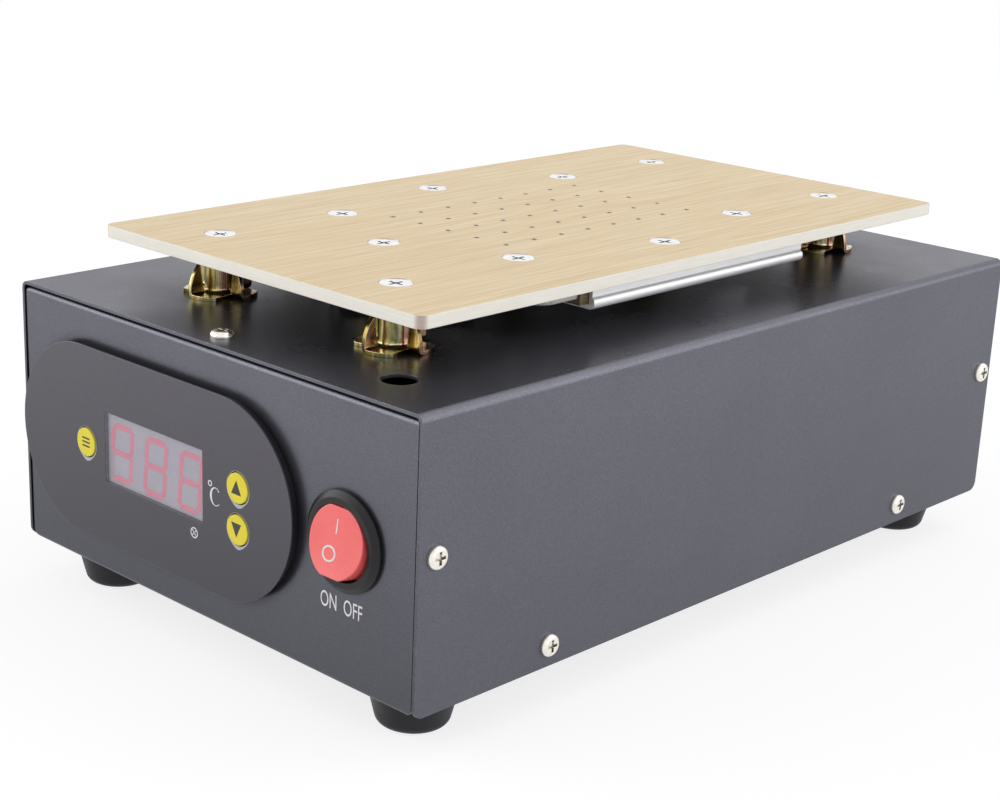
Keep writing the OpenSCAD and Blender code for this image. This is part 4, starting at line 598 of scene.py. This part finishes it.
lit, off = bmesh.new(), bmesh.new()
for i in range(3):
    cx = (i - 1) * digit_step
    for z in (-1, 0, 1):
        bar(lit, 0, z * (digit_h - bar_t) / 2, digit_w - bar_t, False, cx)
    for sx in (-1, 1):
        for sz in (-1, 1):
            dark = i == 0 and sx < 0 and sz < 0
            bar(off if dark else lit, sx * (digit_w - bar_t) / 2, sz * (digit_h - bar_t) / 4,
                (digit_h - bar_t) / 2, True, cx)
close(lit, "digit_bars_lit", digit_red)
close(off, "digit_bars_off", digit_off)


# Print on the film: pale rims under the keys, the degree sign and a lamp symbol

film_y = low("overlay_film").y
keys = {n: middle(n) for n in ("set_button", "up_button", "down_button")}

HALO_R, HALO_T, HALO_LOW, HALO_TIP = 3.9, 0.10, 0.30, 0.55  # inner radius, width, and how much wider it is below
bm = bmesh.new()
for c in keys.values():
    rim = []
    for a in around(72):
        below = max(0.0, -math.sin(a))
        r_out = HALO_R + HALO_T + HALO_LOW * below + HALO_TIP * below ** 14
        rim.append(section(bm, on_circle((c.x, c.z), r_out, a), on_circle((c.x, c.z), HALO_R, a), film_y))
    strip(bm, rim, True)
close(bm, "key_halos", print_grey)

# A letter C with a thick back, thin tips and a serif at its upper one, and the degree ring
C_X, C_Z, C_RX, C_RZ = 7.65, 44.25, 1.95, 2.25
C_START, C_SWEEP, C_STEPS = 42, 276, 40
C_THIN, C_THICK, C_SERIF, C_FLAT = 0.24, 0.46, 0.34, 0.55
bm = bmesh.new()
arc = []
for i in range(C_STEPS + 1):
    t = i / C_STEPS
    a = math.radians(C_START + C_SWEEP * t)
    w = C_THIN + C_THICK * math.sin(math.pi * t) ** 1.6 + (C_SERIF if i < 2 else 0.0)
    p, q = ((C_X + (C_RX - d) * math.cos(a), C_Z + (C_RZ - C_FLAT * d) * math.sin(a)) for d in (0.0, w))
    arc.append(section(bm, p, q, film_y))
strip(bm, arc, False)
close(bm, "unit_mark", print_white)
bm = bmesh.new()
ring(bm, (5.75, 47.05), 0.74, 0.44, film_y, 28)
close(bm, "degree_ring", print_white)

# The lamp symbol: a ring with a cross in it
LAMP, CROSS_L, CROSS_W = (-0.2, 33.2), 1.1, 0.13
bm = bmesh.new()
ring(bm, LAMP, 1.35, 1.05, film_y, 32)
for turn in (45, 135):
    c, s = math.cos(math.radians(turn)), math.sin(math.radians(turn))
    slab(bm, [(LAMP[0] + CROSS_L * c * p - CROSS_W * s * q, LAMP[1] + CROSS_L * s * p + CROSS_W * c * q)
              for p, q in ((-1, -1), (1, -1), (1, 1), (-1, 1))], film_y)
close(bm, "lamp_symbol", print_white)


# Symbols on the keys: an arrow up, an arrow down and three bars

ARROW_X, ARROW_HALF, ARROW_FOOT, ARROW_TIP = -0.3, 1.75, 1.55, 1.85
for n, body, up in (("up_button", "up_key", 1), ("down_button", "down_key", -1)):
    x, z = keys[n].x + ARROW_X, keys[n].z
    bm = bmesh.new()
    slab(bm, [(x - ARROW_HALF, z - ARROW_FOOT * up), (x + ARROW_HALF, z - ARROW_FOOT * up), (x, z + ARROW_TIP * up)],
         low(n).y)
    close(bm, n + "_arrow", print_dark, body)

LINE_HALF, LINE_T, LINE_STEP = 1.5, 0.21, 1.0
c = keys["set_button"]
bm = bmesh.new()
for dz in (-LINE_STEP, 0.0, LINE_STEP):
    x0, x1, z0, z1 = c.x - LINE_HALF, c.x + LINE_HALF, c.z + dz - LINE_T, c.z + dz + LINE_T
    slab(bm, [(x0, z0), (x1, z0), (x1, z1), (x0, z1)], low("set_button").y)
close(bm, "set_button_bars", print_dark, "set_key")


# Words under the switch

front_y = low("base_tray").y
switch = middle("switch_housing")
words("switch_words", "ON  OFF", switch.x - 1.2, 29.7, 3.7, front_y, print_white, 0.66)


# Marks on the rocker, which follow its dished and tilted face

TILT, FACE, DISH = math.radians(11), 2.6, 60.0  # at rest: tilt, distance of the face from the pivot, its radius
MARK_OUT, MARK_IN = 0.03, 0.02
pivot = Vector((switch.x, front_y - 0.4, 45.2))


def on_rocker(bm, p, lift):
    x, z = p
    y = -FACE - DISH + math.sqrt(DISH * DISH - z * z) - lift
    return spot(bm, pivot.x + x, pivot.y + y * math.cos(TILT) + z * math.sin(TILT),
                pivot.z - y * math.sin(TILT) + z * math.cos(TILT))


def wrap(bm, lines, closed):
    """A printed line on the rocker's face, from pairs of points on its two sides."""
    strip(bm, [[on_rocker(bm, v, d) for v, d in ((p, MARK_OUT), (q, MARK_OUT), (q, -MARK_IN), (p, -MARK_IN))]
               for p, q in lines], closed)


I_X0, I_X1, I_Z, I_L, I_STEPS = -0.43, -0.07, 1.8, 3.3, 10
O_X, O_Z, O_OUT, O_IN = -1.5, -2.9, (2.10, 1.82), (1.62, 1.38)
bm = bmesh.new()
heights = [I_Z + I_L * i / I_STEPS for i in range(I_STEPS + 1)]
wrap(bm, [((I_X0, z), (I_X1, z)) for z in heights], False)
wrap(bm, [[(O_X + rx * math.cos(a), O_Z + rz * math.sin(a)) for rx, rz in (O_OUT, O_IN)] for a in around(40)], True)
close(bm, "rocker_marks", print_white, "rocker_switch")


# Floor, light and camera

def floor_mat():
    """Pale floor that keeps the object's shadow and fades to the white of the world with distance."""
    t = Tree("floor")
    pale = t.mix(t.span(t.noise(3, 2.0), 0.3, 0.7, 0.0, 1.0), (0.90, 0.90, 0.90), (0.915, 0.915, 0.915))
    seen = t.seen()
    away = t.add("ShaderNodeVectorMath", {"operation": "LENGTH"}, {"Vector": t.obj}).outputs["Value"]
    far = t.span(away, 0.5, 1.8, 0.0, 1.0)
    shadow = t.mix(far, (0.324, 0.324, 0.324), (0.0, 0.0, 0.0))
    glow = t.calc("MULTIPLY", seen, t.span(far, 0.0, 1.0, 0.785, 1.0))
    diffuse = t.add("ShaderNodeBsdfDiffuse", None, {"Color": t.mix(seen, pale, shadow)})
    emission = t.add("ShaderNodeEmission", None, {"Color": (1.0, 1.0, 1.0), "Strength": glow})
    both = t.add("ShaderNodeAddShader")
    t.nt.links.new(diffuse.outputs[0], both.inputs[0])
    t.nt.links.new(emission.outputs[0], both.inputs[1])
    t.nt.links.new(both.outputs[0], t.add("ShaderNodeOutputMaterial").inputs[0])
    return t.mat


bm = bmesh.new()
bmesh.ops.create_circle(bm, cap_ends=True, segments=96, radius=4.0)
floor_mesh = bpy.data.meshes.new("floor")
bm.to_mesh(floor_mesh)
bm.free()
floor_mesh.materials.append(floor_mat())
floor = bpy.data.objects.new("floor", floor_mesh)
SCENE.collection.objects.link(floor)
floor.location.z = -0.05 * MM

WORLD_LIGHT, WORLD_SEEN = 0.45, 1.0
world = bpy.data.worlds.new("studio")
SCENE.world = world
world.use_nodes = True
w = Nodes(world.node_tree)
background = w.add("ShaderNodeBackground", None,
                   {"Color": (1.0, 1.0, 1.0), "Strength": w.span(w.seen(), 0.0, 1.0, WORLD_LIGHT, WORLD_SEEN)})
w.nt.links.new(background.outputs[0], w.add("ShaderNodeOutputWorld").inputs[0])


def lamp(name, place, target_z, size, watts):
    """A soft white lamp that looks at a point above the middle of the floor."""
    light = bpy.data.lights.new(name, "AREA")
    light.shape = "RECTANGLE"
    light.size, light.size_y = size
    light.energy = watts
    obj = bpy.data.objects.new(name, light)
    obj.location = place
    obj.rotation_euler = (Vector((0, 0, target_z)) - Vector(place)).to_track_quat("-Z", "Y").to_euler()
    SCENE.collection.objects.link(obj)


lamp("left_soft", (-1.40, -1.14, 0.74), 0.05, (2.5, 1.3), 18.5)
lamp("right_soft", (1.40, 0.68, 0.66), 0.05, (2.5, 1.2), 10.5)
lamp("rear_soft", (0.40, 0.95, 1.50), 0.06, (1.4, 1.2), 3.8)

# The camera, solved from the photo: its focal length and middle in pixels, its axes and its place
IMAGE_W, IMAGE_H = 1000.0, 800.0
FOCAL, MIDDLE_X, MIDDLE_Y = 1967.5415, 446.4695, 437.3302
SENSOR = 36.0
RIGHT = (0.70650557, 0.70694342, 0.03287668)
UP = (-0.24502344, 0.20076117, 0.94850328)
BACK = (0.66393779, -0.67817841, 0.3150566)
PLACE = (0.33821451, -0.37851029, 0.19962964)
cam_data = bpy.data.cameras.new("camera")
cam_data.sensor_fit = "HORIZONTAL"
cam_data.sensor_width = SENSOR
cam_data.lens = FOCAL * SENSOR / IMAGE_W
cam_data.shift_x = (IMAGE_W / 2 - MIDDLE_X) / IMAGE_W
cam_data.shift_y = (MIDDLE_Y - IMAGE_H / 2) / IMAGE_W
cam_data.clip_start = 0.05
cam_data.clip_end = 20.0
camera = bpy.data.objects.new("camera", cam_data)
camera.matrix_world = Matrix([(RIGHT[i], UP[i], BACK[i], PLACE[i]) for i in range(3)] + [(0, 0, 0, 1)])
SCENE.collection.objects.link(camera)
SCENE.camera = camera
SCENE.view_settings.view_transform = "Standard"

bpy.context.view_layer.update()
